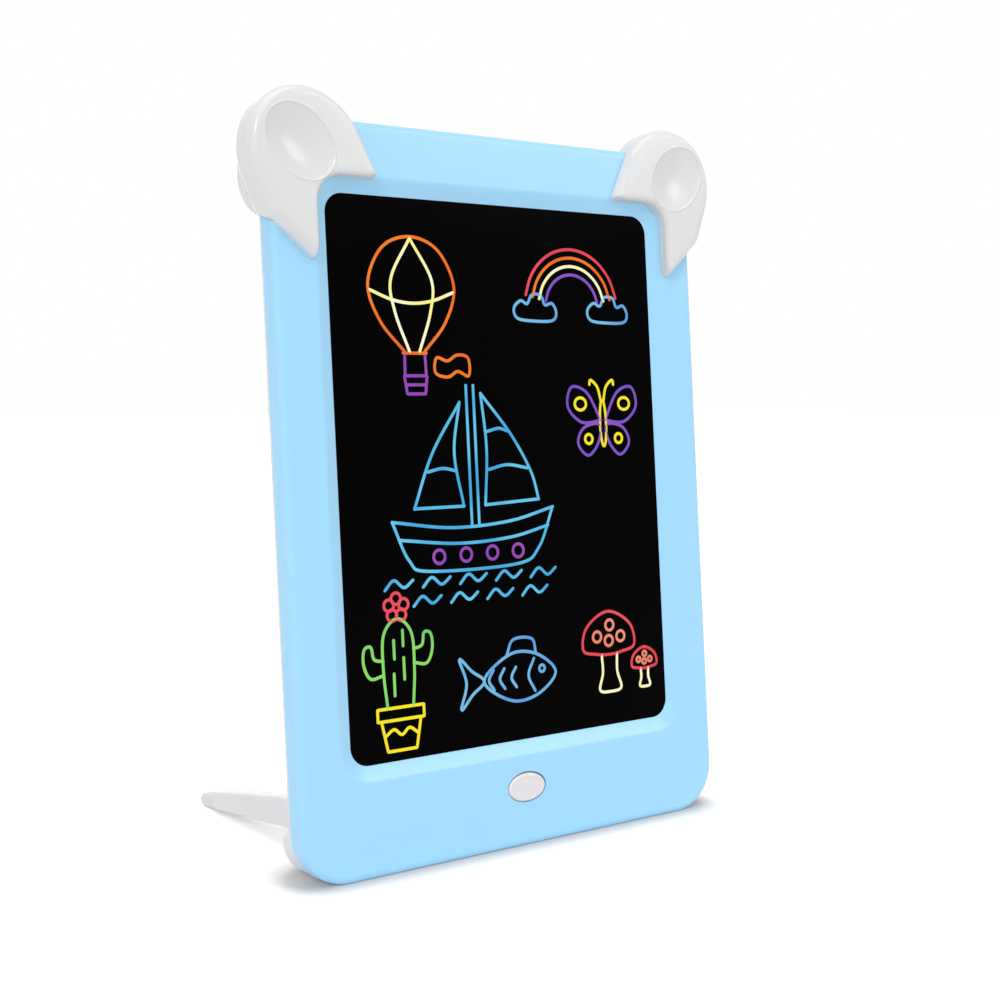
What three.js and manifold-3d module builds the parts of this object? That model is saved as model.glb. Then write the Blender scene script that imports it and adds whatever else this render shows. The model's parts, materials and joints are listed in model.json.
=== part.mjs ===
// A drawing board with a lit writing panel, two clip-on ears and two fold-out legs.
// Millimetres, +Z up. Every piece is made in the board's own frame, which is x to the right,
// y from the front face to the back and z up along the board. The board then leans back.
import * as THREE from 'three';
import { mergeVertices } from 'three/addons/utils/BufferGeometryUtils.js';
import Module from 'manifold-3d';

const wasm = await Module();
wasm.setup();

const degree = Math.PI / 180;
const sides = ['left', 'right'];

// Fits and shared values
const gap = 0.3;
const overrun = 5;
const weldTolerance = 1e-5;

// How finely round forms are divided
const cornerSteps = 6;
const roundSteps = 3;
const rodSides = 12;
const pinSides = 16;
const cellSides = 20;
const legRoundSteps = 12;
const legCornerSteps = 4;
const legBevelSteps = 2;
const dishRings = 8;
const dishSides = 32;
const dishRunShare = 1.3;
const rayTolerance = 1e-9;

// The whole board
const boardWidth = 176;
const boardHeight = 244;
const cornerRadius = 17;
const leanAngle = 4.5 * degree;

// Front bezel
const bezelDepth = 8;
const bezelWall = 2;
const faceWall = 2.4;
const bezelEdgeRound = 2.6;
const sideBorder = 20;
const topBorder = 23.4;
const bottomBorder = 36.2;
const windowRadius = 6.6;
const windowSlope = 5;

// Screws that hold the back cover, and the bosses that take them
const bossRadius = 3;
const screwShankRadius = 1.1;
const screwHeadRadius = 2.4;
const screwHeadHeight = 1.1;
const screwTipGap = 1;
const screwInset = 8;
const screwHeightShares = [0.2, 0.48, 0.76];
const slotWidthShare = 0.5;
const slotDepthShare = 0.5;

// Writing panel, its black backing and the lamps on its edges
const panelLap = 4;
const panelThickness = 2.6;
const backingThickness = 0.8;
const lampHeightShares = [0.22, 0.5, 0.78];
const lampLength = 3.4;
const lampWidth = 2.4;
const lampThickness = 0.7;
const stripThickness = 0.8;
const stripWidth = 3.4;
const stripLengthShare = 0.72;

// Power button, its switch and the circuit board behind it
const buttonHeight = 20.3;
const holeWidth = 16.4;
const holeHeight = 10.4;
const buttonPlay = 0.6;
const buttonProud = 0.5;
const buttonEdgeRound = 0.8;
const buttonFlange = 1.5;
const buttonFlangeThickness = 1;
const buttonTravel = 0.8;
const plungerRadius = 1.7;
const plungerLength = 2.6;
const switchSize = 6;
const switchHeight = 3.2;
const switchSetback = 0.9;
const circuitWidth = 44;
const circuitHeight = 22;
const circuitThickness = 1;
const chipWidth = 8;
const chipHeight = 5;
const chipThickness = 1.2;
const chipShift = 12;
const postRadius = 2;
const postPinRadius = 0.9;
const postInset = 3;

// Back cover with its foot band and its battery hump
const coverInset = 0.4;
const coverThickness = 2.1;
const coverEdgeRound = 1.2;
const coverWall = 1.8;
const coverDepth = 21.8;
const lipHeight = 2;
const lipThickness = 1.2;
const bandEdgeRound = 1.5;
const bandInset = 4;
const bandStep = 4;
const bandStepHeight = 14.5;
const bandHeight = 31;
const bandCornerRadius = 3;
const lugLevel = 150.5;
const lugHeight = 4.8;
const lugWidth = 3;
const lugDepth = 1.7;
const humpCornerRadius = 4;

// Battery box: cells lie across the board, one above the other
const cellLength = 44.5;
const cellRadius = 5.25;
const cellNippleRadius = 1.9;
const cellNippleLength = 1;
const cellPitch = 11.6;
const cellCount = 3;
const cellRoom = 0.55;
const cellEdgeRound = 0.5;
const boxFloorThickness = 1.5;
const boxBase = 38;
const plateThickness = 0.5;
const plateSize = 8.4;
const springLength = 3.6;
const springBaseRadius = 3.6;
const springTipRadius = 2.2;
const bumpLength = 0.8;
const bumpRadius = 2;

// Battery door
const doorThickness = 1.6;
const doorLap = 2;
const doorCornerRadius = 2.5;
const doorTabWidth = 8;
const doorTabSpread = 16;
const doorTabReach = 2;
const doorTabThickness = 1.2;
const doorScrewShankRadius = 1.1;
const doorScrewHeadRadius = 2.2;
const doorScrewHeadHeight = 1;
const doorScrewLength = 4.6;
const doorEarWidth = 9;
const doorEarHeight = 7;

// Legs, their pins and rubber tips
const legInset = 22;
const legWidth = 7;
const legHalfThickness = 5.2;
const legStraight = 34;
const legLength = 85.5;
const legEndThickness = 6.8;
const legEdgeRound = 1;
const legEndRound = 1.6;
const pinHeight = 17;
const pinRadius = 1.5;
const pinBite = 3.4;
const bayClearance = 0.4;
const tipLength = 12;
const tipThickness = 5;
const tipWidth = 5.4;
const spigotLength = 5;
const spigotThickness = 2.2;
const spigotWidth = 2.8;

// Ears: each sits on a corner of the board, and its parts are placed from its centre
const earSideInset = 12.7;
const earTopInset = 13.2;
const earLongRadius = 22.6;
const earShortRadius = 20.6;
const earTilt = 58 * degree;
const lobeOut = 6.8;
const lobeDown = 13.6;
const lobeRadius = 9.4;
const earProud = 4.2;
const earFrontReach = 3;
const earSeam = 4.6;
const earDomeDepth = 3;
const earDomeRound = 2.5;
const earEdgeRound = 3;
const earWall = 2;
const earRearWall = 4.3;
const earTipRadius = 1.3;
const earTipLowDrop = 30.9;
const earTipSideReach = 23.7;
const earTipPullShare = 0.2;
const earInnerRadius = 9.5;
const earBorderGap = 0.4;
const earRimPoints = 48;
const earTipPoints = 4;
const earTipPointStep = 1.3 * degree;
const dishOut = 3.8;
const dishUp = 3.6;
const dishLongRadius = 13.5;
const dishShortRadius = 10.6;
const dishTilt = 42 * degree;
const dishDepth = 2.6;
const clipLowOut = 5;
const clipLowDown = 6.3;
const clipLowRadius = 12.8;
const clipHighIn = 4.8;
const clipHighUp = 3.2;
const clipHighRadius = 9.5;
const clipMidOut = 3.3;
const clipMidUp = 2.2;
const clipMidRadius = 14.1;
const earScrewOut = 10.05;
const earScrewUp = 10.55;
const earBossRadius = 2;
const earScrewShankRadius = 1;
const earScrewHeadRadius = 1.9;
const earScrewHeadHeight = 1;
const earScrewDepth = 3;

// Wires inside the case
const wireRadius = 0.5;
const wireSides = 6;
const wireSteps = 28;
const batteryWireInset = 4;
const batteryWireSag = 3.2;
const lampWireHeight = 24;
const lampWireTurn = 6;

// Values that follow from the sizes above
const halfWidth = boardWidth / 2;
const windowHalf = halfWidth - sideBorder;
const windowLow = bottomBorder;
const windowHigh = boardHeight - topBorder;
const panelFront = faceWall + gap;
const panelBack = panelFront + panelThickness;
const backingFront = panelBack + gap;
const backingBack = backingFront + backingThickness;
const coverFront = bezelDepth + gap;
const coverBack = coverFront + coverThickness;
const coverHalf = halfWidth - coverInset;
const bandHalf = halfWidth - bandInset;
const circuitFront = faceWall + gap + buttonFlangeThickness + gap + switchSetback + switchHeight + gap;
const cellsHeight = cellPitch * (cellCount - 1) + 2 * (cellRadius + cellRoom);
const doorFront = coverDepth - doorThickness;
const cellY = doorFront - cellRoom - cellRadius;
const boxFloor = cellY - cellRadius - gap;
const boxTop = boxBase + cellsHeight;
const boxHalf = cellLength / 2 + plateThickness + springLength + 2 * gap;
const humpHalf = boxHalf + coverWall + doorLap;
const doorHalf = boxHalf + doorLap;
const doorLow = boxBase - doorLap / 2;
const doorHigh = boxTop + doorLap / 2;
const humpHigh = doorHigh + doorEarHeight + coverWall;
const batteryWireX = boxHalf - gap - plateThickness / 2;
const batteryWireY = cellY + plateSize / 2 + gap + wireRadius;
const pinY = coverDepth - legHalfThickness;
const legOffset = halfWidth - legInset;
const bayHalf = legWidth / 2 + bayClearance;
const earX = halfWidth - earSideInset;
const earZ = boardHeight - earTopInset;
const earScrewX = earX + earScrewOut;
const earScrewZ = earZ + earScrewUp;
const pinHalf = bayHalf + pinBite;

// Colours and finishes, as in the photograph
function finish(color, roughness, metalness = 0) {
  return new THREE.MeshStandardMaterial({ color, roughness, metalness });
}
const skyBlue = () => finish(0xa5ddfe, 0.42);
const shellWhite = () => finish(0xe9e9ea, 0.45);
const earWhite = () => finish(0xe6e6e7, 0.3);
const buttonWhite = () => finish(0xe9e4e6, 0.4);
const clearBlack = () => finish(0x050506, 0.12);
const filmBlack = () => finish(0x020203, 0.7);
const circuitGreen = () => finish(0x1f5d3a, 0.55);
const chipBlack = () => finish(0x16161a, 0.5);
const lampWhite = () => finish(0xf7f3e4, 0.3);
const steel = () => finish(0xb9bcc2, 0.3, 1);
const brassPlate = () => finish(0xcfcfc9, 0.35, 1);
const cellJacket = () => finish(0x2f6f4a, 0.4);
const tipGrey = () => finish(0xb9bac2, 0.75);
const wireJacket = (color) => finish(color, 0.5);

// Solids: three.js makes every form, the boolean library only joins and cuts
function toSolid(geometry) {
  const bare = geometry.clone();
  bare.deleteAttribute('normal');
  bare.deleteAttribute('uv');
  const welded = mergeVertices(bare, weldTolerance);
  return new wasm.Manifold(new wasm.Mesh({
    numProp: 3,
    vertProperties: new Float32Array(welded.attributes.position.array),
    triVerts: new Uint32Array(welded.index.array),
  }));
}

function toGeometry(solid) {
  const result = solid.getMesh();
  const geometry = new THREE.BufferGeometry();
  geometry.setAttribute('position', new THREE.BufferAttribute(new Float32Array(result.vertProperties), 3));
  geometry.setIndex(new THREE.BufferAttribute(new Uint32Array(result.triVerts), 1));
  geometry.computeVertexNormals();
  return geometry;
}

function joined(geometries) {
  return geometries.map(toSolid).reduce((all, next) => all.add(next));
}

function cut(solid, geometries) {
  return geometries.map(toSolid).reduce((rest, next) => rest.subtract(next), solid);
}

function box(x0, x1, y0, y1, z0, z1) {
  const geometry = new THREE.BoxGeometry(x1 - x0, y1 - y0, z1 - z0);
  return geometry.translate((x0 + x1) / 2, (y0 + y1) / 2, (z0 + z1) / 2);
}

// A cylinder along y, from one depth to another
function rodY(radius, x, z, y0, y1, points = rodSides) {
  const geometry = new THREE.CylinderGeometry(radius, radius, y1 - y0, points);
  return geometry.translate(x, (y0 + y1) / 2, z);
}

// A cylinder along x
function rodX(radius, y, z, x0, x1, points = pinSides) {
  const geometry = new THREE.CylinderGeometry(radius, radius, x1 - x0, points);
  return geometry.rotateZ(Math.PI / 2).translate((x0 + x1) / 2, y, z);
}

// A turned piece along y: the profile is a list of [radius, y]
function turnedY(profile, x, z, points = rodSides) {
  const outline = profile.map(([radius, y]) => new THREE.Vector2(radius, y));
  return new THREE.LatheGeometry(outline, points).translate(x, 0, z);
}

// An outline drawn in x and z, made into a plate between two depths
function plate(shape, y0, y1, round = 0) {
  const geometry = new THREE.ExtrudeGeometry(shape, {
    depth: y1 - y0 - 2 * round,
    bevelEnabled: round > 0,
    bevelThickness: round,
    bevelSize: round,
    bevelOffset: -round,
    bevelSegments: roundSteps,
    curveSegments: cornerSteps,
  });
  return geometry.rotateX(Math.PI / 2).translate(0, y1 - round, 0);
}

function roundedRectangle(half, low, high, radius) {
  const shape = new THREE.Shape();
  shape.absarc(half - radius, low + radius, radius, -Math.PI / 2, 0);
  shape.absarc(half - radius, high - radius, radius, 0, Math.PI / 2);
  shape.absarc(-half + radius, high - radius, radius, Math.PI / 2, Math.PI);
  shape.absarc(-half + radius, low + radius, radius, Math.PI, 1.5 * Math.PI);
  shape.closePath();
  return shape;
}

function ellipseShape(width, height, x, z) {
  const shape = new THREE.Shape();
  shape.absellipse(x, z, width / 2, height / 2, 0, 2 * Math.PI, false, 0);
  return shape;
}

// A body through rings of points that lie one behind the other, closed by flat ends
function loft(rings) {
  const count = rings[0].length;
  const points = rings.flat();
  const index = [];
  for (let ring = 0; ring + 1 < rings.length; ring += 1) {
    for (let point = 0; point < count; point += 1) {
      const next = (point + 1) % count;
      const here = ring * count;
      const there = here + count;
      index.push(here + point, there + next, here + next);
      index.push(here + point, there + point, there + next);
    }
  }
  const last = (rings.length - 1) * count;
  const flat = (ring) => ring.map(([x, , z]) => new THREE.Vector2(x, z));
  const frontEnd = THREE.ShapeUtils.triangulateShape(flat(rings[0]), []);
  const backEnd = THREE.ShapeUtils.triangulateShape(flat(rings[rings.length - 1]), []);
  frontEnd.forEach(([a, b, c]) => index.push(a, b, c));
  backEnd.forEach(([a, b, c]) => index.push(last + a, last + c, last + b));
  const geometry = new THREE.BufferGeometry();
  geometry.setAttribute('position', new THREE.Float32BufferAttribute(points.flat(), 3));
  geometry.setIndex(index);
  return geometry;
}

function rectangleRing(half, low, high, radius, y) {
  const centres = [
    [half - radius, low + radius, -90],
    [half - radius, high - radius, 0],
    [-half + radius, high - radius, 90],
    [-half + radius, low + radius, 180],
  ];
  return centres.flatMap(([x, z, start]) => {
    const ring = [];
    for (let step = 0; step <= cornerSteps; step += 1) {
      const angle = (start + 90 * step / cornerSteps) * degree;
      ring.push([x + radius * Math.cos(angle), y, z + radius * Math.sin(angle)]);
    }
    return ring;
  });
}

// Depth and inset of a rounded edge, from the face it rounds to the wall it meets
function roundedEdge(radius) {
  const steps = [];
  for (let step = 0; step <= roundSteps; step += 1) {
    const angle = Math.PI / 2 * (1 - step / roundSteps);
    steps.push([radius * (1 - Math.sin(angle)), radius * (1 - Math.cos(angle))]);
  }
  return steps;
}

// Everything under the floor that the leaning board stands on
function belowFloor() {
  const reach = boardWidth + boardHeight;
  const slab = new THREE.BoxGeometry(reach, reach, overrun + coverDepth);
  slab.translate(0, 0, -(overrun + coverDepth) / 2);
  return slab.rotateX(leanAngle);
}

function screwPlaces() {
  return screwHeightShares.flatMap((share) => [
    [-(halfWidth - screwInset), boardHeight * share],
    [halfWidth - screwInset, boardHeight * share],
  ]);
}

function postPlaces() {
  return [-1, 1].flatMap((side) => [
    [side * (circuitWidth / 2 - postInset), buttonHeight - circuitHeight / 2 + postInset],
    [side * (circuitWidth / 2 - postInset), buttonHeight + circuitHeight / 2 - postInset],
  ]);
}

function frontBezel() {
  const rings = roundedEdge(bezelEdgeRound).map(([y, inset]) => rectangleRing(
    halfWidth - inset, inset, boardHeight - inset, cornerRadius - inset, y,
  ));
  rings.push(rectangleRing(halfWidth, 0, boardHeight, cornerRadius, bezelDepth));
  const inside = roundedRectangle(
    halfWidth - bezelWall, bezelWall, boardHeight - bezelWall, cornerRadius - bezelWall,
  );
  const grow = windowSlope * (faceWall + overrun) / faceWall;
  const windowRing = (out, y) => rectangleRing(
    windowHalf + out, windowLow - out, windowHigh + out, windowRadius + out, y,
  );
  const slope = loft([
    windowRing(grow, -overrun), windowRing(0, faceWall), windowRing(0, faceWall + overrun),
  ]);
  let solid = cut(toSolid(loft(rings)), [
    plate(inside, faceWall, bezelDepth + overrun),
    slope,
    plate(ellipseShape(holeWidth, holeHeight, 0, buttonHeight), -overrun, faceWall + overrun),
  ]);
  screwPlaces().forEach(([x, z]) => {
    solid = solid.add(toSolid(rodY(bossRadius, x, z, faceWall / 2, bezelDepth - gap)));
    solid = cut(solid, [rodY(screwShankRadius + gap, x, z, faceWall + gap, bezelDepth)]);
  });
  postPlaces().forEach(([x, z]) => {
    solid = solid.add(toSolid(rodY(postRadius, x, z, faceWall / 2, circuitFront - gap)));
    const pinBack = circuitFront + circuitThickness + gap;
    solid = solid.add(toSolid(rodY(postPinRadius, x, z, faceWall, pinBack)));
  });
  return cut(solid, [belowFloor()]);
}

function bandOutline() {
  const radius = cornerRadius - bandInset;
  const top = bandHeight;
  const upper = bandHalf - bandStep;
  const shape = new THREE.Shape();
  shape.absarc(bandHalf - radius, radius, radius, -Math.PI / 2, 0);
  shape.lineTo(bandHalf, bandStepHeight);
  shape.lineTo(upper, bandStepHeight + bandStep);
  shape.absarc(upper - bandCornerRadius, top - bandCornerRadius, bandCornerRadius, 0, Math.PI / 2);
  shape.absarc(-upper + bandCornerRadius, top - bandCornerRadius, bandCornerRadius, Math.PI / 2, Math.PI);
  shape.lineTo(-upper, bandStepHeight + bandStep);
  shape.lineTo(-bandHalf, bandStepHeight);
  shape.absarc(-bandHalf + radius, radius, radius, Math.PI, 1.5 * Math.PI);
  shape.closePath();
  return shape;
}

function doorOutline(play) {
  return roundedRectangle(doorHalf + play, doorLow - play, doorHigh + play, doorCornerRadius);
}

function doorEarOutline(play) {
  const half = doorEarWidth / 2 + play;
  const top = doorHigh + doorEarHeight + play;
  return roundedRectangle(half, doorHigh - doorCornerRadius, top, doorCornerRadius);
}

function doorScrewHeight() {
  return doorHigh + doorEarHeight - doorScrewHeadRadius - gap - doorScrewShankRadius;
}

function backCover() {
  const edge = roundedEdge(coverEdgeRound).map(([y, inset]) => rectangleRing(
    coverHalf - inset, coverInset + inset, boardHeight - coverInset - inset,
    cornerRadius - coverInset - inset, coverBack - y,
  )).reverse();
  edge.unshift(rectangleRing(
    coverHalf, coverInset, boardHeight - coverInset, cornerRadius - coverInset, coverFront,
  ));
  const lipOuter = halfWidth - bezelWall - gap;
  const lipTop = boardHeight - bezelWall - gap;
  const lipRadius = cornerRadius - bezelWall - gap;
  const lip = roundedRectangle(lipOuter, bezelWall + gap, lipTop, lipRadius);
  lip.holes.push(roundedRectangle(
    lipOuter - lipThickness, bezelWall + gap + lipThickness,
    lipTop - lipThickness, lipRadius - lipThickness,
  ));
  const hump = roundedRectangle(humpHalf, bandHeight - humpCornerRadius * 2, humpHigh, humpCornerRadius);
  const boxShell = box(
    -boxHalf - coverWall, boxHalf + coverWall, boxFloor - boxFloorThickness, coverBack,
    boxBase - coverWall, boxTop + coverWall,
  );
  const lugOuter = coverHalf - coverEdgeRound;
  const lugs = [-lugOuter, lugOuter - lugWidth].map((x) => box(
    x, x + lugWidth, coverBack - coverThickness / 2, coverBack + lugDepth,
    lugLevel - lugHeight / 2, lugLevel + lugHeight / 2,
  ));
  const doorBossZ = doorScrewHeight();
  let solid = joined([
    ...lugs,
    loft(edge),
    plate(lip, coverFront - lipHeight, coverFront + gap),
    plate(bandOutline(), coverFront, coverDepth, bandEdgeRound),
    plate(hump, coverFront, coverDepth, bandEdgeRound),
    boxShell,
  ]);
  const inner = legOffset - pinHalf - coverWall;
  const hollowBack = coverDepth - coverWall;
  solid = cut(solid, [
    box(-inner, inner, coverFront - overrun, hollowBack, 2 * coverWall, bandHeight - coverWall),
    box(
      -humpHalf + coverWall, humpHalf - coverWall, coverFront - overrun, hollowBack,
      2 * coverWall, boxBase - coverWall,
    ),
    box(-boxHalf, boxHalf, boxFloor, coverDepth + overrun, boxBase, boxTop),
    plate(doorOutline(gap), doorFront - gap, coverDepth + overrun),
    plate(doorEarOutline(gap), doorFront - gap, coverDepth + overrun),
    rodY(
      doorScrewShankRadius + 2 * gap, 0, doorBossZ,
      coverDepth - doorScrewLength - gap, coverDepth + overrun,
    ),
  ]);
  const tabWindow = doorTabReach * 2 + doorTabThickness;
  const wireHole = wireRadius + gap;
  [-1, 1].forEach((side) => {
    const x = side * doorTabSpread;
    const bayX = side * legOffset;
    solid = cut(solid, [
      box(
        x - doorTabWidth / 2 - gap, x + doorTabWidth / 2 + gap, doorFront - gap - tabWindow, hollowBack,
        doorLow - doorTabReach - gap, boxBase + overrun,
      ),
      box(
        bayX - bayHalf, bayX + bayHalf, coverBack, coverDepth + overrun,
        pinHeight - legHalfThickness - bayClearance - gap, bandHeight + overrun,
      ),
      rodX(pinRadius + gap, pinY, pinHeight, bayX - pinHalf - gap, bayX + pinHalf + gap),
      box(
        side * batteryWireX - wireHole, side * batteryWireX + wireHole,
        batteryWireY - wireHole, batteryWireY + wireHole, boxBase - coverWall - gap, boxBase + gap,
      ),
    ]);
  });
  screwPlaces().forEach(([x, z]) => {
    solid = cut(solid, [
      rodY(screwShankRadius + gap, x, z, coverFront - overrun, coverBack + overrun),
      rodY(screwHeadRadius + gap, x, z, coverBack - screwHeadHeight - gap, coverBack + overrun),
    ]);
  });
  return cut(solid, [belowFloor()]);
}

function screwGeometry(shank, head, headHeight, length, x, z, back) {
  const slotHalf = shank * slotWidthShare / 2;
  const slotDepth = headHeight * slotDepthShare;
  const body = toSolid(turnedY([
    [0, back - length],
    [shank / 2, back - length],
    [shank, back - length + shank],
    [shank, back - headHeight],
    [head, back - headHeight],
    [head, back - headHeight / 2],
    [head - headHeight / 2, back],
    [0, back],
  ], x, z));
  const reach = head / 2 + slotHalf;
  return cut(body, [
    box(x - reach, x + reach, back - slotDepth, back + overrun, z - slotHalf, z + slotHalf),
    box(x - slotHalf, x + slotHalf, back - slotDepth, back + overrun, z - reach, z + reach),
  ]);
}

function batteryDoor() {
  let solid = joined([
    plate(doorOutline(0), doorFront, coverDepth),
    plate(doorEarOutline(0), doorFront, coverDepth),
  ]);
  [-1, 1].forEach((side) => {
    const x0 = side * doorTabSpread - doorTabWidth / 2;
    const x1 = x0 + doorTabWidth;
    const neckBack = doorFront + doorThickness / 2;
    const hookFront = doorFront - gap - 2 * doorTabThickness;
    solid = solid.add(toSolid(box(x0, x1, hookFront, neckBack, doorLow, doorLow + doorTabThickness)));
    solid = solid.add(toSolid(box(
      x0, x1, hookFront, hookFront + doorTabThickness,
      doorLow - doorTabReach, doorLow + doorTabThickness / 2,
    )));
  });
  const headRoom = doorScrewHeadHeight + gap;
  return cut(solid, [
    rodY(doorScrewShankRadius + gap, 0, doorScrewHeight(), doorFront - overrun, coverDepth + overrun),
    rodY(doorScrewHeadRadius + gap, 0, doorScrewHeight(), coverDepth - headRoom, coverDepth + overrun),
  ]);
}

function cellGeometry(row, toRight) {
  const z = boxBase + cellRoom + cellRadius + row * cellPitch;
  const half = cellLength / 2;
  const profile = [
    [0, -half],
    [cellRadius - cellEdgeRound, -half],
    [cellRadius, -half + cellEdgeRound],
    [cellRadius, half - cellNippleLength - cellEdgeRound],
    [cellRadius - cellEdgeRound, half - cellNippleLength],
    [cellNippleRadius, half - cellNippleLength],
    [cellNippleRadius, half],
    [0, half],
  ];
  const geometry = turnedY(profile, 0, 0, cellSides);
  geometry.rotateZ(toRight ? -Math.PI / 2 : Math.PI / 2);
  return geometry.translate(toRight ? cellShift() : -cellShift(), cellY, z);
}

// The spring pushes each cell towards the plate at its other end
function cellShift() {
  return (springLength - bumpLength) / 2;
}

// A contact: a plate on the end wall of the box, with a spring or a bump for each cell on it
function contactGeometry(side, rows) {
  const wall = side * (boxHalf - gap);
  const inner = wall - side * plateThickness;
  const low = boxBase + cellRoom + cellRadius + rows[0].row * cellPitch - plateSize / 2;
  const high = boxBase + cellRoom + cellRadius + rows[rows.length - 1].row * cellPitch + plateSize / 2;
  const x0 = Math.min(wall, inner);
  const x1 = Math.max(wall, inner);
  let solid = toSolid(box(x0, x1, cellY - plateSize / 2, cellY + plateSize / 2, low, high));
  rows.forEach(({ row, spring }) => {
    const length = spring ? springLength : bumpLength;
    const base = spring ? springBaseRadius : bumpRadius;
    const tip = spring ? springTipRadius : bumpRadius;
    const root = -plateThickness / 2;
    const cone = turnedY([[0, root], [base, root], [tip, length], [0, length]], 0, 0);
    cone.rotateZ(side * Math.PI / 2);
    cone.translate(inner, cellY, boxBase + cellRoom + cellRadius + row * cellPitch);
    solid = solid.add(toSolid(cone));
  });
  return solid;
}

function powerButton() {
  const width = holeWidth - 2 * buttonPlay;
  const height = holeHeight - 2 * buttonPlay;
  const flangeFront = faceWall + gap;
  const cap = plate(
    ellipseShape(width, height, 0, buttonHeight),
    -buttonProud, flangeFront + buttonFlangeThickness, buttonEdgeRound,
  );
  const flange = plate(
    ellipseShape(holeWidth + buttonFlange, holeHeight + buttonFlange, 0, buttonHeight),
    flangeFront, flangeFront + buttonFlangeThickness,
  );
  return joined([cap, flange]);
}

function switchPieces() {
  const flangeBack = faceWall + gap + buttonFlangeThickness;
  const plungerFront = flangeBack + gap;
  const bodyFront = plungerFront + switchSetback;
  const body = toSolid(box(
    -switchSize / 2, switchSize / 2, bodyFront, bodyFront + switchHeight,
    buttonHeight - switchSize / 2, buttonHeight + switchSize / 2,
  ));
  const boreBack = plungerFront + plungerLength + buttonTravel + gap;
  const bore = rodY(plungerRadius + gap, 0, buttonHeight, bodyFront - overrun, boreBack);
  return {
    body: cut(body, [bore]),
    plunger: rodY(plungerRadius, 0, buttonHeight, plungerFront, plungerFront + plungerLength),
  };
}

function mainBoard() {
  const low = buttonHeight - circuitHeight / 2;
  const high = buttonHeight + circuitHeight / 2;
  const back = circuitFront + circuitThickness;
  const solid = toSolid(box(-circuitWidth / 2, circuitWidth / 2, circuitFront, back, low, high));
  return cut(solid, postPlaces().map(([x, z]) => rodY(
    postPinRadius + gap, x, z, circuitFront - overrun, back + overrun,
  )));
}

// Ears. The right one is drawn, and the left one is its mirror image
function hullOf(points) {
  const sorted = [...points].sort((a, b) => a[0] - b[0] || a[1] - b[1]);
  const half = (list) => list.reduce((chain, point) => {
    while (chain.length > 1 && turn(chain[chain.length - 2], chain[chain.length - 1], point) <= 0) {
      chain.pop();
    }
    chain.push(point);
    return chain;
  }, []);
  const lower = half(sorted);
  const upper = half(sorted.reverse());
  return lower.slice(0, -1).concat(upper.slice(0, -1));
}

function turn([ax, az], [bx, bz], [cx, cz]) {
  return (bx - ax) * (cz - az) - (bz - az) * (cx - ax);
}

function circlePoints(x, z, radius) {
  const points = [];
  for (let step = 0; step < earRimPoints; step += 1) {
    const angle = 2 * Math.PI * step / earRimPoints;
    points.push([x + radius * Math.cos(angle), z + radius * Math.sin(angle)]);
  }
  return points;
}

function shellPoints(shrink) {
  return discPoints(shrink).concat(circlePoints(earX + lobeOut, earZ - lobeDown, lobeRadius - shrink));
}

function discPoints(shrink) {
  return circlePoints(0, 0, 1).map(([across, up]) => {
    const u = (earLongRadius - shrink) * across;
    const v = (earShortRadius - shrink) * up;
    return [
      earX + u * Math.cos(earTilt) - v * Math.sin(earTilt),
      earZ + u * Math.sin(earTilt) + v * Math.cos(earTilt),
    ];
  });
}

function earTips() {
  const innerX = windowHalf + windowSlope + earBorderGap;
  const innerZ = windowHigh + windowSlope - earBorderGap;
  return [
    [innerX + earTipRadius, earZ - earTipLowDrop],
    [earX - earTipSideReach, innerZ + earTipRadius],
  ];
}

// The rim is sampled on rays, with more of them at the two tips
function rayAngles() {
  const angles = circlePoints(0, 0, 1).map(([x, z]) => Math.atan2(z, x));
  earTips().forEach(([x, z]) => {
    const middle = Math.atan2(z - earZ, x - earX);
    for (let step = -earTipPoints; step <= earTipPoints; step += 1) {
      angles.push(middle + step * earTipPointStep);
    }
  });
  return angles.sort((a, b) => a - b);
}

function rayRing(outline, y) {
  return rayAngles().map((angle) => {
    const dx = Math.cos(angle);
    const dz = Math.sin(angle);
    let reach = 0;
    outline.forEach(([ax, az], place) => {
      const [bx, bz] = outline[(place + 1) % outline.length];
      const across = dx * (bz - az) - dz * (bx - ax);
      const along = ((ax - earX) * (bz - az) - (az - earZ) * (bx - ax)) / across;
      const share = ((ax - earX) * dz - (az - earZ) * dx) / across;
      if (along > reach && share >= -rayTolerance && share <= 1 + rayTolerance) {
        reach = along;
      }
    });
    return [earX + reach * dx, y, earZ + reach * dz];
  });
}

function earOutline(shrink, pull) {
  const tips = earTips().flatMap(([x, z]) => circlePoints(
    x + (earX - x) * pull, z + (earZ - z) * pull, earTipRadius,
  ));
  return hullOf(shellPoints(shrink).concat(tips));
}

function boardCorner(y0, y1) {
  return plate(roundedRectangle(halfWidth + gap, -gap, boardHeight + gap, cornerRadius + gap), y0, y1);
}

// A bowl turned about its middle, then drawn out along its long radius
function dishTool() {
  const sphere = (dishLongRadius ** 2 + dishDepth ** 2) / (2 * dishDepth);
  const bowl = [];
  for (let step = 0; step <= dishRings; step += 1) {
    const angle = Math.asin(dishLongRadius / sphere) * dishRunShare * step / dishRings;
    bowl.push([sphere * Math.sin(angle), -earProud + dishDepth - sphere * (1 - Math.cos(angle))]);
  }
  bowl.push([0, bowl[dishRings][1]]);
  const drawn = turnedY(bowl.reverse(), 0, 0, dishSides).scale(1, 1, dishShortRadius / dishLongRadius);
  return drawn.rotateY(-dishTilt).translate(earX + dishOut, 0, earZ + dishUp);
}

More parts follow.
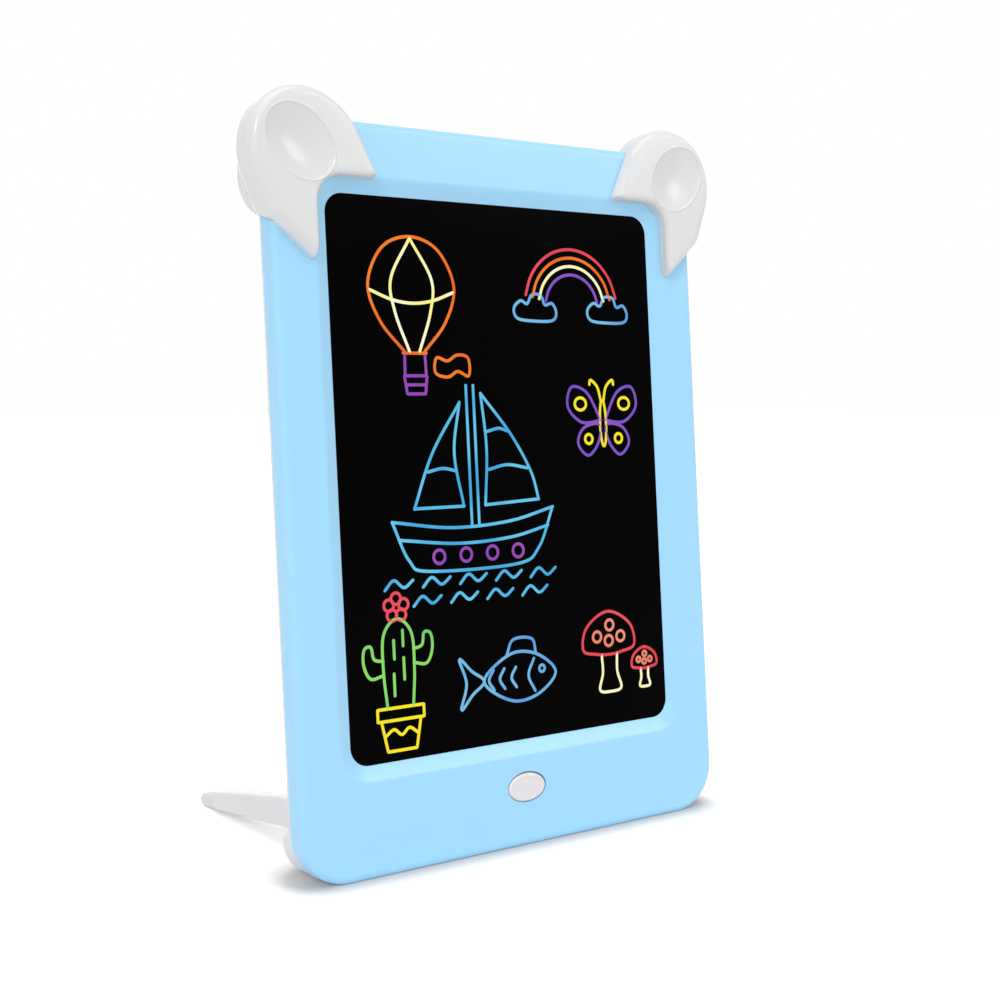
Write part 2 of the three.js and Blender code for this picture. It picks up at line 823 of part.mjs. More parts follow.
function earFront() {
  const rings = roundedEdge(earProud).map(([y, inset]) => rayRing(
    earOutline(earFrontReach * inset / earProud, earTipPullShare * inset / earProud), y - earProud,
  ));
  rings.push(rayRing(earOutline(0, 0), earSeam));
  const border = roundedRectangle(
    windowHalf + windowSlope + earBorderGap, windowLow,
    windowHigh + windowSlope - earBorderGap, earInnerRadius,
  );
  const hollow = hullOf(discPoints(earWall)).map(([x, z]) => new THREE.Vector2(x, z));
  let solid = cut(toSolid(loft(rings)), [
    boardCorner(-gap, earSeam + overrun),
    plate(border, -earProud - overrun, earSeam + overrun),
    dishTool(),
    plate(new THREE.Shape(hollow), -gap, earSeam + overrun),
  ]);
  solid = solid.add(toSolid(rodY(earBossRadius, earScrewX, earScrewZ, -2 * gap, earSeam)));
  return cut(solid, [rodY(earScrewShankRadius + gap, earScrewX, earScrewZ, gap, earSeam + overrun)]);
}

function clipOutline(shrink) {
  return hullOf([
    ...circlePoints(earX + clipLowOut, earZ - clipLowDown, clipLowRadius - shrink),
    ...circlePoints(earX - clipHighIn, earZ + clipHighUp, clipHighRadius - shrink),
    ...circlePoints(earX + clipMidOut, earZ + clipMidUp, clipMidRadius - shrink),
  ]);
}

// From the seam straight back, then rounded off at the back
function rearBody(outlineAt, round, back) {
  const rings = roundedEdge(round).map(([y, inset]) => rayRing(outlineAt(inset), back - y));
  rings.reverse();
  rings.unshift(rayRing(outlineAt(0), earSeam + gap));
  return toSolid(loft(rings));
}

function earRear() {
  const back = coverBack + gap + earRearWall;
  const dome = rearBody((shrink) => hullOf(shellPoints(shrink)), earDomeRound, earSeam + gap + earDomeDepth);
  const hollow = clipOutline(earWall).map(([x, z]) => new THREE.Vector2(x, z));
  let solid = cut(rearBody(clipOutline, earEdgeRound, back).add(dome), [
    boardCorner(-overrun, coverBack + gap),
    plate(new THREE.Shape(hollow), -overrun, coverBack + gap),
  ]);
  solid = solid.add(toSolid(rodY(earBossRadius, earScrewX, earScrewZ, earSeam + gap, coverBack + 2 * gap)));
  return cut(solid, [
    rodY(earScrewShankRadius + gap, earScrewX, earScrewZ, -overrun, back + overrun),
    rodY(earScrewHeadRadius + gap, earScrewX, earScrewZ, back - earScrewHeadHeight - gap, back + overrun),
  ]);
}

function earScrew() {
  const back = coverBack + gap + earRearWall;
  const length = back - earSeam + earScrewDepth;
  return screwGeometry(
    earScrewShankRadius, earScrewHeadRadius, earScrewHeadHeight, length, earScrewX, earScrewZ, back,
  );
}

// Legs, in a frame of their own: the pin is at zero, y runs along the underside to the tip
function legFrame(outlinePoints, width, round) {
  const shape = new THREE.Shape(outlinePoints);
  const geometry = new THREE.ExtrudeGeometry(shape, {
    depth: width - 2 * round,
    bevelEnabled: round > 0,
    bevelThickness: round,
    bevelSize: round,
    bevelOffset: -round,
    bevelSegments: legBevelSteps,
  });
  geometry.rotateX(Math.PI / 2).rotateZ(Math.PI / 2);
  return geometry.translate(-width / 2 + round, 0, 0);
}

function arcPoints(y, z, radius, from, to, steps) {
  const points = [];
  for (let step = 0; step <= steps; step += 1) {
    const angle = (from + (to - from) * step / steps) * degree;
    points.push(new THREE.Vector2(y + radius * Math.cos(angle), z + radius * Math.sin(angle)));
  }
  return points;
}

function standLeg() {
  const under = -legHalfThickness;
  const endTop = under + legEndThickness;
  const outline = [
    ...arcPoints(0, 0, legHalfThickness, 90, 270, legRoundSteps),
    ...arcPoints(legLength - legEndRound, under + legEndRound, legEndRound, -90, 0, legCornerSteps),
    ...arcPoints(legLength - legEndRound, endTop - legEndRound, legEndRound, 0, 90, legCornerSteps),
    new THREE.Vector2(legStraight, legHalfThickness),
  ];
  const middle = under + tipThickness / 2;
  const spigot = box(
    -spigotWidth / 2, spigotWidth / 2, legLength - legEndRound, legLength + spigotLength,
    middle - spigotThickness / 2, middle + spigotThickness / 2,
  );
  const solid = joined([legFrame(outline, legWidth, legEdgeRound), spigot]);
  return cut(solid, [rodX(pinRadius + gap, 0, 0, -legWidth, legWidth)]);
}

function legTip() {
  const under = -legHalfThickness;
  const start = legLength + gap;
  const round = tipThickness / 2;
  const middle = under + round;
  const outline = [
    new THREE.Vector2(start, under),
    ...arcPoints(legLength + tipLength - round, middle, round, -90, 90, legRoundSteps),
    new THREE.Vector2(start, under + tipThickness),
  ];
  const pocket = box(
    -spigotWidth / 2 - gap, spigotWidth / 2 + gap, legLength - overrun, legLength + spigotLength + gap,
    middle - spigotThickness / 2 - gap, middle + spigotThickness / 2 + gap,
  );
  return cut(toSolid(legFrame(outline, tipWidth, legEdgeRound)), [pocket]);
}

// How far a leg drops below the level when its tip reaches the floor
function legDrop() {
  const round = tipThickness / 2;
  const pinLevel = pinHeight * Math.cos(leanAngle) - pinY * Math.sin(leanAngle);
  const along = legLength + tipLength - round;
  const below = legHalfThickness - round;
  return Math.asin((pinLevel - round) / Math.hypot(along, below)) - Math.atan2(below, along);
}

// A wire from a contact down the end of the battery box, through its hole and on to the board
function batteryWire(side, top) {
  const back = circuitFront + circuitThickness + gap;
  const end = circuitWidth / 2 - batteryWireInset;
  const bottom = boxBase - coverWall;
  return wireGeometry([
    [side * batteryWireX, batteryWireY, top],
    [side * batteryWireX, batteryWireY, (top + bottom) / 2],
    [side * batteryWireX, batteryWireY, bottom + batteryWireSag / 2],
    [side * batteryWireX, batteryWireY, bottom - batteryWireSag / 2],
    [side * (batteryWireX + end) / 2, (batteryWireY + back) / 2, bottom - 2 * batteryWireSag],
    [side * end, back + batteryWireSag / 2, bottom - 3 * batteryWireSag],
    [side * end, back, bottom - 3 * batteryWireSag],
  ]);
}

// A wire from a lamp strip, under the writing panel and on to the edge of the board
function lampWire(side, strip, stripEnd) {
  const board0 = circuitWidth / 2 + gap;
  const depth = panelFront + stripWidth / 2;
  const level = circuitFront + circuitThickness / 2;
  return wireGeometry([
    [side * strip, depth, stripEnd - gap],
    [side * strip, depth, (stripEnd + windowLow) / 2],
    [side * (strip - lampWireTurn / 2), depth, windowLow - panelLap],
    [side * (strip - 2 * lampWireTurn), depth, lampWireHeight],
    [side * (strip + board0) / 2, depth, lampWireHeight],
    [side * (board0 + lampWireTurn), level, lampWireHeight],
    [side * board0, level, lampWireHeight],
  ]);
}

function wireGeometry(points) {
  const path = new THREE.CatmullRomCurve3(points.map(([x, y, z]) => new THREE.Vector3(x, y, z)));
  const section = new THREE.Shape();
  for (let side = 0; side < wireSides; side += 1) {
    const angle = 2 * Math.PI * side / wireSides;
    const point = [wireRadius * Math.cos(angle), wireRadius * Math.sin(angle)];
    if (side === 0) {
      section.moveTo(...point);
    } else {
      section.lineTo(...point);
    }
  }
  section.closePath();
  return new THREE.ExtrudeGeometry(section, { steps: wireSteps, extrudePath: path });
}

// The assembly
const group = new THREE.Group();
const board = new THREE.Group();
board.rotation.x = -leanAngle;
group.add(board);

function place(name, form, material, parent = board) {
  const geometry = form.isBufferGeometry ? toGeometry(toSolid(form)) : toGeometry(form);
  const mesh = new THREE.Mesh(geometry, material);
  mesh.name = name;
  parent.add(mesh);
  return mesh;
}

place('front_bezel', frontBezel(), skyBlue());
place('back_cover', backCover(), shellWhite());

const panelHalf = windowHalf + panelLap;
const panelShape = roundedRectangle(panelHalf, windowLow - panelLap, windowHigh + panelLap, windowRadius);
place('writing_panel', plate(panelShape, panelFront, panelBack), clearBlack());
place('black_backing', plate(panelShape, backingFront, backingBack), filmBlack());

sides.forEach((side, number) => {
  const sign = number === 0 ? -1 : 1;
  const lampInner = panelHalf + gap;
  const stripInner = lampInner + lampThickness + gap;
  const stripOuter = stripInner + stripThickness;
  const middle = (windowLow + windowHigh) / 2;
  const halfLength = (windowHigh - windowLow) * stripLengthShare / 2;
  const depth = panelFront + panelThickness / 2;
  const xs = (a, b) => [Math.min(sign * a, sign * b), Math.max(sign * a, sign * b)];
  const wire = lampWire(sign, (stripInner + stripOuter) / 2, middle - halfLength);
  place(`wire_lamps_${side}`, wire, wireJacket(0xd8d8dc));
  place(`led_strip_${side}`, box(
    ...xs(stripInner, stripOuter), panelFront, panelFront + stripWidth,
    middle - halfLength, middle + halfLength,
  ), circuitGreen());
  lampHeightShares.forEach((share, lamp) => {
    const z = windowLow + (windowHigh - windowLow) * share;
    place(`led_${side}_${lamp + 1}`, box(
      ...xs(lampInner, lampInner + lampThickness), depth - lampWidth / 2, depth + lampWidth / 2,
      z - lampLength / 2, z + lampLength / 2,
    ), lampWhite());
  });
});

place('power_button', powerButton(), buttonWhite());
const switchParts = switchPieces();
place('switch_body', switchParts.body, chipBlack());
place('switch_plunger', switchParts.plunger, chipBlack());
place('main_board', mainBoard(), circuitGreen());
const chipFront = circuitFront + circuitThickness + gap;
place('control_chip', box(
  -chipShift - chipWidth / 2, -chipShift + chipWidth / 2, chipFront, chipFront + chipThickness,
  buttonHeight - chipHeight / 2, buttonHeight + chipHeight / 2,
), chipBlack());

place('battery_door', batteryDoor(), shellWhite());
place('battery_door_screw', screwGeometry(
  doorScrewShankRadius, doorScrewHeadRadius, doorScrewHeadHeight, doorScrewLength,
  0, doorScrewHeight(), coverDepth,
), steel());

for (let row = 0; row < cellCount; row += 1) {
  place(`battery_cell_${row + 1}`, cellGeometry(row, row % 2 === 0), cellJacket());
}
const springOn = (row) => ({ row, spring: true });
const bumpOn = (row) => ({ row, spring: false });
place('contact_negative', contactGeometry(-1, [springOn(0)]), brassPlate());
place('contact_link_right', contactGeometry(1, [bumpOn(0), springOn(1)]), brassPlate());
place('contact_link_left', contactGeometry(-1, [bumpOn(1), springOn(2)]), brassPlate());
place('contact_positive', contactGeometry(1, [bumpOn(2)]), brassPlate());
const lowCellZ = boxBase + cellRoom + cellRadius;
const topCellZ = lowCellZ + (cellCount - 1) * cellPitch;
place('wire_battery_positive', batteryWire(1, topCellZ), wireJacket(0xc02020));
place('wire_battery_negative', batteryWire(-1, lowCellZ), wireJacket(0x181818));

screwPlaces().forEach(([x, z], number) => {
  const length = coverBack - faceWall - screwTipGap;
  place(`case_screw_${number + 1}`, screwGeometry(
    screwShankRadius, screwHeadRadius, screwHeadHeight, length, x, z, coverBack,
  ), steel());
});

// A mirror image, with its faces turned out again
function mirrored(solid) {
  const geometry = toGeometry(solid).scale(-1, 1, 1);
  const index = geometry.index.array;
  for (let corner = 0; corner < index.length; corner += 3) {
    [index[corner], index[corner + 1]] = [index[corner + 1], index[corner]];
  }
  return geometry;
}

const ear = { front: earFront(), rear: earRear(), screw: earScrew() };
const earFinish = { front: earWhite, rear: earWhite, screw: steel };
Object.entries(ear).forEach(([piece, solid]) => {
  place(`right_ear_${piece}`, solid, earFinish[piece]());
  place(`left_ear_${piece}`, mirrored(solid), earFinish[piece]());
});

sides.forEach((side, number) => {
  const x = (number === 0 ? -1 : 1) * legOffset;
  const leg = new THREE.Group();
  leg.position.set(x, pinY, pinHeight);
  leg.rotation.x = leanAngle - legDrop();
  board.add(leg);
  place(`stand_leg_${side}`, standLeg(), shellWhite(), leg);
  place(`leg_tip_${side}`, legTip(), tipGrey(), leg);
  place(`leg_pin_${side}`, rodX(pinRadius, 0, 0, -pinHalf, pinHalf), steel(), leg);
});

// The origin lies on the floor, under the middle of the back cover's flat sole
group.position.y = -(coverFront + coverDepth - bandEdgeRound) / 2 / Math.cos(leanAngle);

export default group;
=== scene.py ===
"""A free-standing drawing board: a blue frame round a black panel, two pale ears, a button and two legs.

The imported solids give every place. Here each piece that shows gets its fine surface and its finish.
"""

import json
import math

import bmesh
import bpy
import numpy as np
from mathutils import Matrix, Vector


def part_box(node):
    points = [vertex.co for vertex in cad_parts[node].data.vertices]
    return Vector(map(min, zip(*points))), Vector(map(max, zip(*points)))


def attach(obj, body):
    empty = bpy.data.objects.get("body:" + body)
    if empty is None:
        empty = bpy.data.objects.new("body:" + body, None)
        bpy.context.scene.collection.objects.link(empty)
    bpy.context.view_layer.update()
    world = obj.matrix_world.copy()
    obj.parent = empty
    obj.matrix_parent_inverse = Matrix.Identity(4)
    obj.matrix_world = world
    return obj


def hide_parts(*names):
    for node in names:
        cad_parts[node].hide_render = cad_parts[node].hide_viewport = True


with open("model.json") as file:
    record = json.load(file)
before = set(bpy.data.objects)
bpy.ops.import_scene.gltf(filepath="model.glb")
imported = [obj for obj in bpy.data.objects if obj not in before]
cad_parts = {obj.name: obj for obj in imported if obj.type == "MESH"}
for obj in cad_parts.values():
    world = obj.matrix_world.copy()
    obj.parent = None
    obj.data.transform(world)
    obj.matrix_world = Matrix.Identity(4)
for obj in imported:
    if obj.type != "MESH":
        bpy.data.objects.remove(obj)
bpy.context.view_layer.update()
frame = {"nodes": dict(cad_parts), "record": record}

# Sizes are in millimetres, in the board's own frame: x to the right, y back from the front face, z up
MM = 0.001
LEAN = math.radians(4.5)
GAP = 0.3
OVERRUN = 5.0
WIDTH, HEIGHT, CORNER = 176.0, 244.0, 17.0
HALF = WIDTH / 2

# Bezel
BEZEL_DEPTH, BEZEL_WALL, FACE_WALL = 8.0, 2.0, 2.4
EDGE_ROUND = 2.6
WINDOW_HALF, WINDOW_LOW, WINDOW_HIGH, WINDOW_RADIUS = HALF - 20.0, 36.2, HEIGHT - 23.4, 6.6
SLOPE = 5.0
SLOPE_FILLET = 4.0
LIP_FILLET = 0.9
RIM_CHAMFER = 0.25

# Writing panel
PANEL_LAP = 4.0
PANEL_FRONT = FACE_WALL + GAP

# Button
BUTTON_Z, HOLE_WIDTH, HOLE_HEIGHT = 20.3, 16.4, 10.4
BUTTON_PLAY, BUTTON_PROUD, BUTTON_ROUND, BUTTON_CROWN = 0.3, 0.5, 0.9, 0.25
BUTTON_SAG = 0.15
HOLE_FLARE = 0.5
FLANGE_REACH, FLANGE_THICKNESS = 1.2, 1.0
CROWN_SHARES = (0.85, 0.65, 0.4, 0.15)

# Back cover
COVER_INSET, COVER_THICKNESS, COVER_ROUND, COVER_WALL, COVER_DEPTH = 0.4, 2.1, 1.2, 1.8, 21.8
COVER_FRONT = BEZEL_DEPTH + GAP
COVER_BACK = COVER_FRONT + COVER_THICKNESS
BAND_INSET, BAND_STEP, BAND_STEP_Z, BAND_TOP, BAND_RADIUS, BAND_ROUND = 4.0, 4.0, 14.5, 31.0, 3.0, 1.5
HUMP_RADIUS = 4.0
LUG_Z, LUG_HEIGHT, LUG_WIDTH, LUG_DEPTH = 150.5, 4.8, 3.0, 1.7
SCREW_SHARES, SCREW_INSET = (0.2, 0.48, 0.76), 8.0

# Battery box and its door
CELL_LENGTH, CELL_RADIUS, CELL_PITCH, CELL_COUNT, CELL_ROOM = 44.5, 5.25, 11.6, 3, 0.55
PLATE_THICKNESS, SPRING_LENGTH = 0.5, 3.6
BOX_BASE = 38.0
DOOR_THICKNESS, DOOR_LAP, DOOR_RADIUS, DOOR_ROUND = 1.6, 2.0, 2.5, 0.5
DOOR_TAB_WIDTH, DOOR_TAB_SPREAD, DOOR_TAB_REACH, DOOR_TAB_THICKNESS = 8.0, 16.0, 2.0, 1.2
DOOR_EAR_WIDTH, DOOR_EAR_HEIGHT = 9.0, 7.0
DOOR_SHANK, DOOR_HEAD, DOOR_HEAD_HEIGHT, DOOR_SCREW_LENGTH = 1.1, 2.2, 1.0, 4.6
GRIP_COUNT, GRIP_PITCH, GRIP_LENGTH, GRIP_WIDTH, GRIP_HEIGHT = 5, 2.2, 16.0, 1.1, 0.35
GRIP_DROP, GRIP_FLARE, GRIP_DRAFT = 6.0, 0.1, 0.2
BOX_HALF = CELL_LENGTH / 2 + PLATE_THICKNESS + SPRING_LENGTH + 2 * GAP
BOX_TOP = BOX_BASE + CELL_PITCH * (CELL_COUNT - 1) + 2 * (CELL_RADIUS + CELL_ROOM)
DOOR_FRONT, HOLLOW_BACK = COVER_DEPTH - DOOR_THICKNESS, COVER_DEPTH - COVER_WALL
BEYOND = COVER_DEPTH + OVERRUN
BOX_FLOOR = DOOR_FRONT - CELL_ROOM - 2 * CELL_RADIUS - GAP
HUMP_HALF = BOX_HALF + COVER_WALL + DOOR_LAP
DOOR_HALF = BOX_HALF + DOOR_LAP
DOOR_LOW, DOOR_HIGH = BOX_BASE - DOOR_LAP / 2, BOX_TOP + DOOR_LAP / 2
HUMP_TOP = DOOR_HIGH + DOOR_EAR_HEIGHT + COVER_WALL
DOOR_SCREW_Z = DOOR_HIGH + DOOR_EAR_HEIGHT - DOOR_HEAD - GAP - DOOR_SHANK

# Legs
LEG_X, LEG_WIDTH, LEG_HALF, LEG_STRAIGHT, LEG_LENGTH, LEG_END = HALF - 22.0, 7.0, 5.2, 34.0, 85.5, 6.8
LEG_ROUND, LEG_END_ROUND = 1.0, 1.6
PIN_Z, PIN_BITE, BAY_CLEARANCE = 17.0, 3.4, 0.4
PIN_Y = COVER_DEPTH - LEG_HALF
TIP_LENGTH, TIP_THICKNESS, TIP_WIDTH = 12.0, 5.0, 5.4
BAY_HALF = LEG_WIDTH / 2 + BAY_CLEARANCE
PIN_HALF = BAY_HALF + PIN_BITE

# Ears, the right one: the left one is its mirror image
EAR_X, EAR_Z, EAR_LONG, EAR_SHORT, EAR_TILT = HALF - 12.7, HEIGHT - 13.2, 22.5, 20.55, math.radians(58)
LOBE_X, LOBE_Z, LOBE_RADIUS = EAR_X + 6.8, EAR_Z - 13.6, 9.4
EAR_PROUD, EAR_REACH, EAR_SEAM, NOTCH_ROUND = 4.2, 3.0, 4.6, 2.0
DOME_DEPTH, DOME_ROUND, CLIP_ROUND, EAR_REAR_WALL, SEAM_LINE = 3.0, 2.5, 3.0, 4.3, 0.02
TIP_ROUND, TIP_LOW_DROP, TIP_SIDE_REACH, BORDER_GAP, BORDER_RADIUS = 1.3, 30.9, 23.7, 0.4, 9.5
DISH_X, DISH_Z, DISH_LONG, DISH_SHORT, DISH_TILT = EAR_X + 3.8, EAR_Z + 3.6, 13.5, 10.6, math.radians(42)
DISH_DEPTH, DISH_RIM = 2.6, 0.15
BEAD_HEIGHT, BEAD_HALF = 0.24, 0.6
EAR_FIT, FOOT_INSET = 0.05, 0.6
FOOT_RISE = ((-0.6, 21.0), (4.6, 18.6), (20.0, 17.4))
CLIP_CIRCLES = ((5.0, -6.3, 12.8), (-4.8, 3.2, 9.5), (3.3, 2.2, 14.1))
EAR_SCREW_X, EAR_SCREW_Z = EAR_X + 10.05, EAR_Z + 10.55
EAR_BACK = COVER_BACK + GAP + EAR_REAR_WALL

# Screws: the face that they end in, the radii of shank and head, the head's height and the length
CASE_SCREW = (COVER_BACK, 1.1, 2.4, 1.1, COVER_BACK - FACE_WALL - 1.0)
EAR_SCREW = (EAR_BACK, 1.0, 1.9, 1.0, EAR_BACK - EAR_SEAM)
DOOR_SCREW = (COVER_DEPTH, DOOR_SHANK, DOOR_HEAD, DOOR_HEAD_HEIGHT, DOOR_SCREW_LENGTH)
# Their forms: shares of those sizes, then the radians that the crown leaves out at its ends and its rings
POINT_SHARE, CROWN_SHARE, CROWN_POWER = 0.4, 0.35, 0.8
CROWN_START, CROWN_REST, CROWN_RINGS = 0.2, 0.45, 5
CROSS_WIDTH, CROSS_DEPTH, CROSS_REACH = 0.28, 0.55, 0.62

# How finely round forms are divided
CORNER_STEPS, ROUND_STEPS, PLATE_STEPS, DOOR_STEPS, NOTCH_STEPS = 20, 8, 5, 4, 16
CIRCLE_STEPS, OVAL_STEPS, TURNED_STEPS, SCREW_STEPS = 96, 72, 32, 40
BAND_CORNER_STEPS, BAND_STEPS, LEG_STEPS, LEG_END_STEPS, TIP_STEPS = 12, 6, 24, 6, 20
RAY_COUNT, TIP_SPREAD, TIP_RAYS, RAY_DIGITS = 240, 6, 33, 5

# What follows the place of a corner that isn't rounded: its radius, angles and steps
PLAIN = (0, 0, 0, 1)

# Shading: the degrees beyond which an edge stays sharp, and how much the large faces weigh
SHARP_ANGLE, EAR_SHARP_ANGLE, NORMAL_WEIGHT = 32, 50, 100

# Small limits and overlaps
SAME_POINT, PARALLEL, SHARE_SLACK, SHARPEST_CORNER = 1e-6, 1e-12, 1e-9, 0.5
HAIR, FLOOR_CUT_DEPTH = 0.01, 0.05


def board_matrix():
    """Takes the board's own frame, in millimetres, to the shared frame, in metres."""
    low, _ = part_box("writing_panel")
    turn = Matrix.Rotation(-LEAN, 4, "X")
    corner = turn @ Vector((0, PANEL_FRONT, WINDOW_LOW - PANEL_LAP))
    return Matrix.Translation((0, low.y - corner.y * MM, 0)) @ turn @ Matrix.Scale(MM, 4)


BOARD = board_matrix()


def leg_drop():
    """How far a leg drops below the level when its tip reaches the floor."""
    rounding = TIP_THICKNESS / 2
    level = PIN_Z * math.cos(LEAN) - PIN_Y * math.sin(LEAN)
    along = LEG_LENGTH + TIP_LENGTH - rounding
    below = LEG_HALF - rounding
    return math.asin((level - rounding) / math.hypot(along, below)) - math.atan2(below, along)


def leg_matrix(side):
    pin = Matrix.Translation((side * LEG_X, PIN_Y, PIN_Z))
    return BOARD @ pin @ Matrix.Rotation(LEAN - leg_drop(), 4, "X")


# Finishes: noise scales are per metre, depths in metres
SHADE_NOISE, GLOSS_NOISE = 12, 60
GRAIN, GRAIN_DEPTH, GRAIN_DETAIL, GRAIN_STRENGTH = 2600, 0.00002, 3, 0.25
METAL_SHADE_NOISE, METAL_DETAIL, METAL_GLOSS_NOISE = 900, 4, 2500
METAL_GRAIN, METAL_STRENGTH, METAL_DEPTH = 5000, 0.2, 0.00001
INK_NOISE, INK_SPREAD = 60, (0.4, 0.6)
BLACK, WHITE = (0, 0, 0, 1), (1, 1, 1, 1)


def linear(red, green, blue):
    """An 8-bit display colour as the linear colour that shaders take."""
    def one(value):
        share = value / 255
        return share / 12.92 if share <= 0.04045 else ((share + 0.055) / 1.055) ** 2.4
    return (one(red), one(green), one(blue), 1.0)


def feed(tree, node, inputs):
    """Gives a node its inputs: each is a plain value or another node's result."""
    for name, value in inputs.items():
        if isinstance(value, bpy.types.NodeSocket):
            tree.links.new(value, node.inputs[name])
        else:
            node.inputs[name].default_value = value


def result(tree, kind, inputs, output=0):
    """A new node's result."""
    node = tree.nodes.new(kind)
    feed(tree, node, inputs)
    return node.outputs[output]


class Finish:
    """A material with its shader and its nodes at hand."""

    def __init__(self, name):
        self.material = bpy.data.materials.new(name)
        self.material.use_nodes = True
        self.tree = self.material.node_tree
        self.shader = self.tree.nodes["Principled BSDF"]
        self.place = self.tree.nodes.new("ShaderNodeTexCoord").outputs["Object"]

    def give(self, inputs):
        feed(self.tree, self.shader, inputs)

    def noise(self, scale, detail=2.0):
        inputs = {"Vector": self.place, "Scale": scale, "Detail": detail}
        return result(self.tree, "ShaderNodeTexNoise", inputs)

    def spread(self, value, low, high, start=0.25, end=0.75):
        return result(self.tree, "ShaderNodeMapRange", {
            "Value": value, "From Min": start, "From Max": end, "To Min": low, "To Max": high,
        })

    def shades(self, noise, shade, other, *ends):
        """Two close shades that drift over the piece."""
        node = self.tree.nodes.new("ShaderNodeMix")
        node.data_type = "RGBA"
        feed(self.tree, node, {
            "Factor": self.spread(noise, 0, 1, *ends), "A": linear(*shade), "B": linear(*other),
        })
        return node.outputs["Result"]

    def bump(self, height, strength, distance):
        inputs = {"Height": height, "Strength": strength, "Distance": distance}
        self.give({"Normal": result(self.tree, "ShaderNodeBump", inputs)})


def plastic(name, shade, other, rough, grain=GRAIN, depth=GRAIN_DEPTH, level=0.5):
    """Moulded plastic: a slow drift of shade, a finer drift of gloss and a fine moulded grain."""
    finish = Finish(name)
    finish.give({
        "Base Color": finish.shades(finish.noise(SHADE_NOISE), shade, other),
        "Roughness": finish.spread(finish.noise(GLOSS_NOISE), *rough),
        "Specular IOR Level": level,
    })
    finish.bump(finish.noise(grain, GRAIN_DETAIL), GRAIN_STRENGTH, depth)
    return finish.material


def metal(name, shade, other, rough):
    finish = Finish(name)
    finish.give({
        "Base Color": finish.shades(finish.noise(METAL_SHADE_NOISE, METAL_DETAIL), shade, other),
        "Roughness": finish.spread(finish.noise(METAL_GLOSS_NOISE), *rough),
        "Metallic": 1.0,
    })
    finish.bump(finish.noise(METAL_GRAIN), METAL_STRENGTH, METAL_DEPTH)
    return finish.material


def ink(name, shade, other):
    """Marker ink lit from the edges of the panel: it glows in two close shades."""
    finish = Finish(name)
    glow = finish.shades(finish.noise(INK_NOISE), shade, other, *INK_SPREAD)
    finish.give({
        "Base Color": BLACK, "Specular IOR Level": 0.0, "Emission Color": glow, "Emission Strength": 1.0,
    })
    return finish.material


# Two shades and the range of roughness, then the grain's scale and depth and how strongly it mirrors
PLASTICS = {
    "bezel_blue": ((163, 219, 253), (164, 221, 254), (0.22, 0.26), GRAIN, 0.00001),
    "shell_white": ((230, 230, 232), (226, 226, 229), (0.38, 0.5), GRAIN, 0.00004),
    "ear_white": ((225, 225, 226), (223, 223, 224), (0.17, 0.2), 1800, GRAIN_DEPTH, 0.45),
    "button_white": ((232, 227, 229), (228, 225, 226), (0.28, 0.34)),
    "panel_black": ((3, 3, 4), (1, 1, 2), (0.1, 0.14), GRAIN, 0.000002, 0.015),
    "film_black": ((4, 4, 4), (2, 2, 2), (0.6, 0.75), GRAIN, GRAIN_DEPTH, 0.1),
    "circuit_green": ((31, 93, 58), (26, 80, 50), (0.4, 0.55), 900),
    "chip_black": ((22, 22, 26), (30, 30, 34), (0.45, 0.6)),
    "lamp_white": ((247, 243, 228), (240, 232, 205), (0.3, 0.36)),
    "cell_jacket": ((47, 111, 74), (40, 98, 66), (0.3, 0.36), 600),
    "tip_rubber": ((226, 226, 229), (221, 221, 225), (0.6, 0.75), 3500, 0.00005),
    "wire_red": ((192, 32, 32), (176, 26, 26), (0.4, 0.5)),
    "wire_black": ((24, 24, 24), (32, 32, 32), (0.4, 0.5)),
    "wire_grey": ((216, 216, 220), (205, 205, 210), (0.4, 0.5)),
}
METALS = {
    "steel": ((196, 198, 203), (176, 178, 184), (0.29, 0.38)),
    "contact_metal": ((214, 214, 208), (196, 196, 190), (0.29, 0.36)),
}
FINISHES = {name: plastic(name, *look) for name, look in PLASTICS.items()}
FINISHES |= {name: metal(name, *look) for name, look in METALS.items()}
for subpart in frame["record"]["subparts"]:
    materials = frame["nodes"][subpart["node"]].data.materials
    materials.clear()
    materials.append(FINISHES[subpart["material_slot"]])


# Meshes
def make_object(name, points, faces, matrix=BOARD):
    mesh = bpy.data.meshes.new(name)
    mesh.from_pydata([matrix @ Vector(point) for point in points], [], faces)
    made = bpy.data.objects.new(name, mesh)
    bpy.context.scene.collection.objects.link(made)
    turn_faces_out(made)
    return made


def turn_faces_out(made):
    work = bmesh.new()
    work.from_mesh(made.data)
    bmesh.ops.recalc_face_normals(work, faces=work.faces)
    work.to_mesh(made.data)
    work.free()


def rings_to_faces(rings, closed=False):
    """Quads between rings of like counts. An open stack of rings is capped at both ends."""
    count, total = len(rings[0]), len(rings)
    faces = []
    for level in range(total if closed else total - 1):
        here, there = level * count, (level + 1) % total * count
        for place in range(count):
            after = (place + 1) % count
            faces.append((here + place, here + after, there + after, there + place))
    if not closed:
        faces.append(tuple(range(count)))
        faces.append(tuple(range((total - 1) * count, total * count)))
    return faces


def stack(name, rings, closed=False, matrix=BOARD):
    points = [point for ring in rings for point in ring]
    return make_object(name, points, rings_to_faces(rings, closed), matrix)


def apply_modifiers(made):
    graph = bpy.context.evaluated_depsgraph_get()
    fresh = bpy.data.meshes.new_from_object(made.evaluated_get(graph))
    made.modifiers.clear()
    old = made.data
    made.data = fresh
    fresh.name = made.name
    bpy.data.meshes.remove(old)


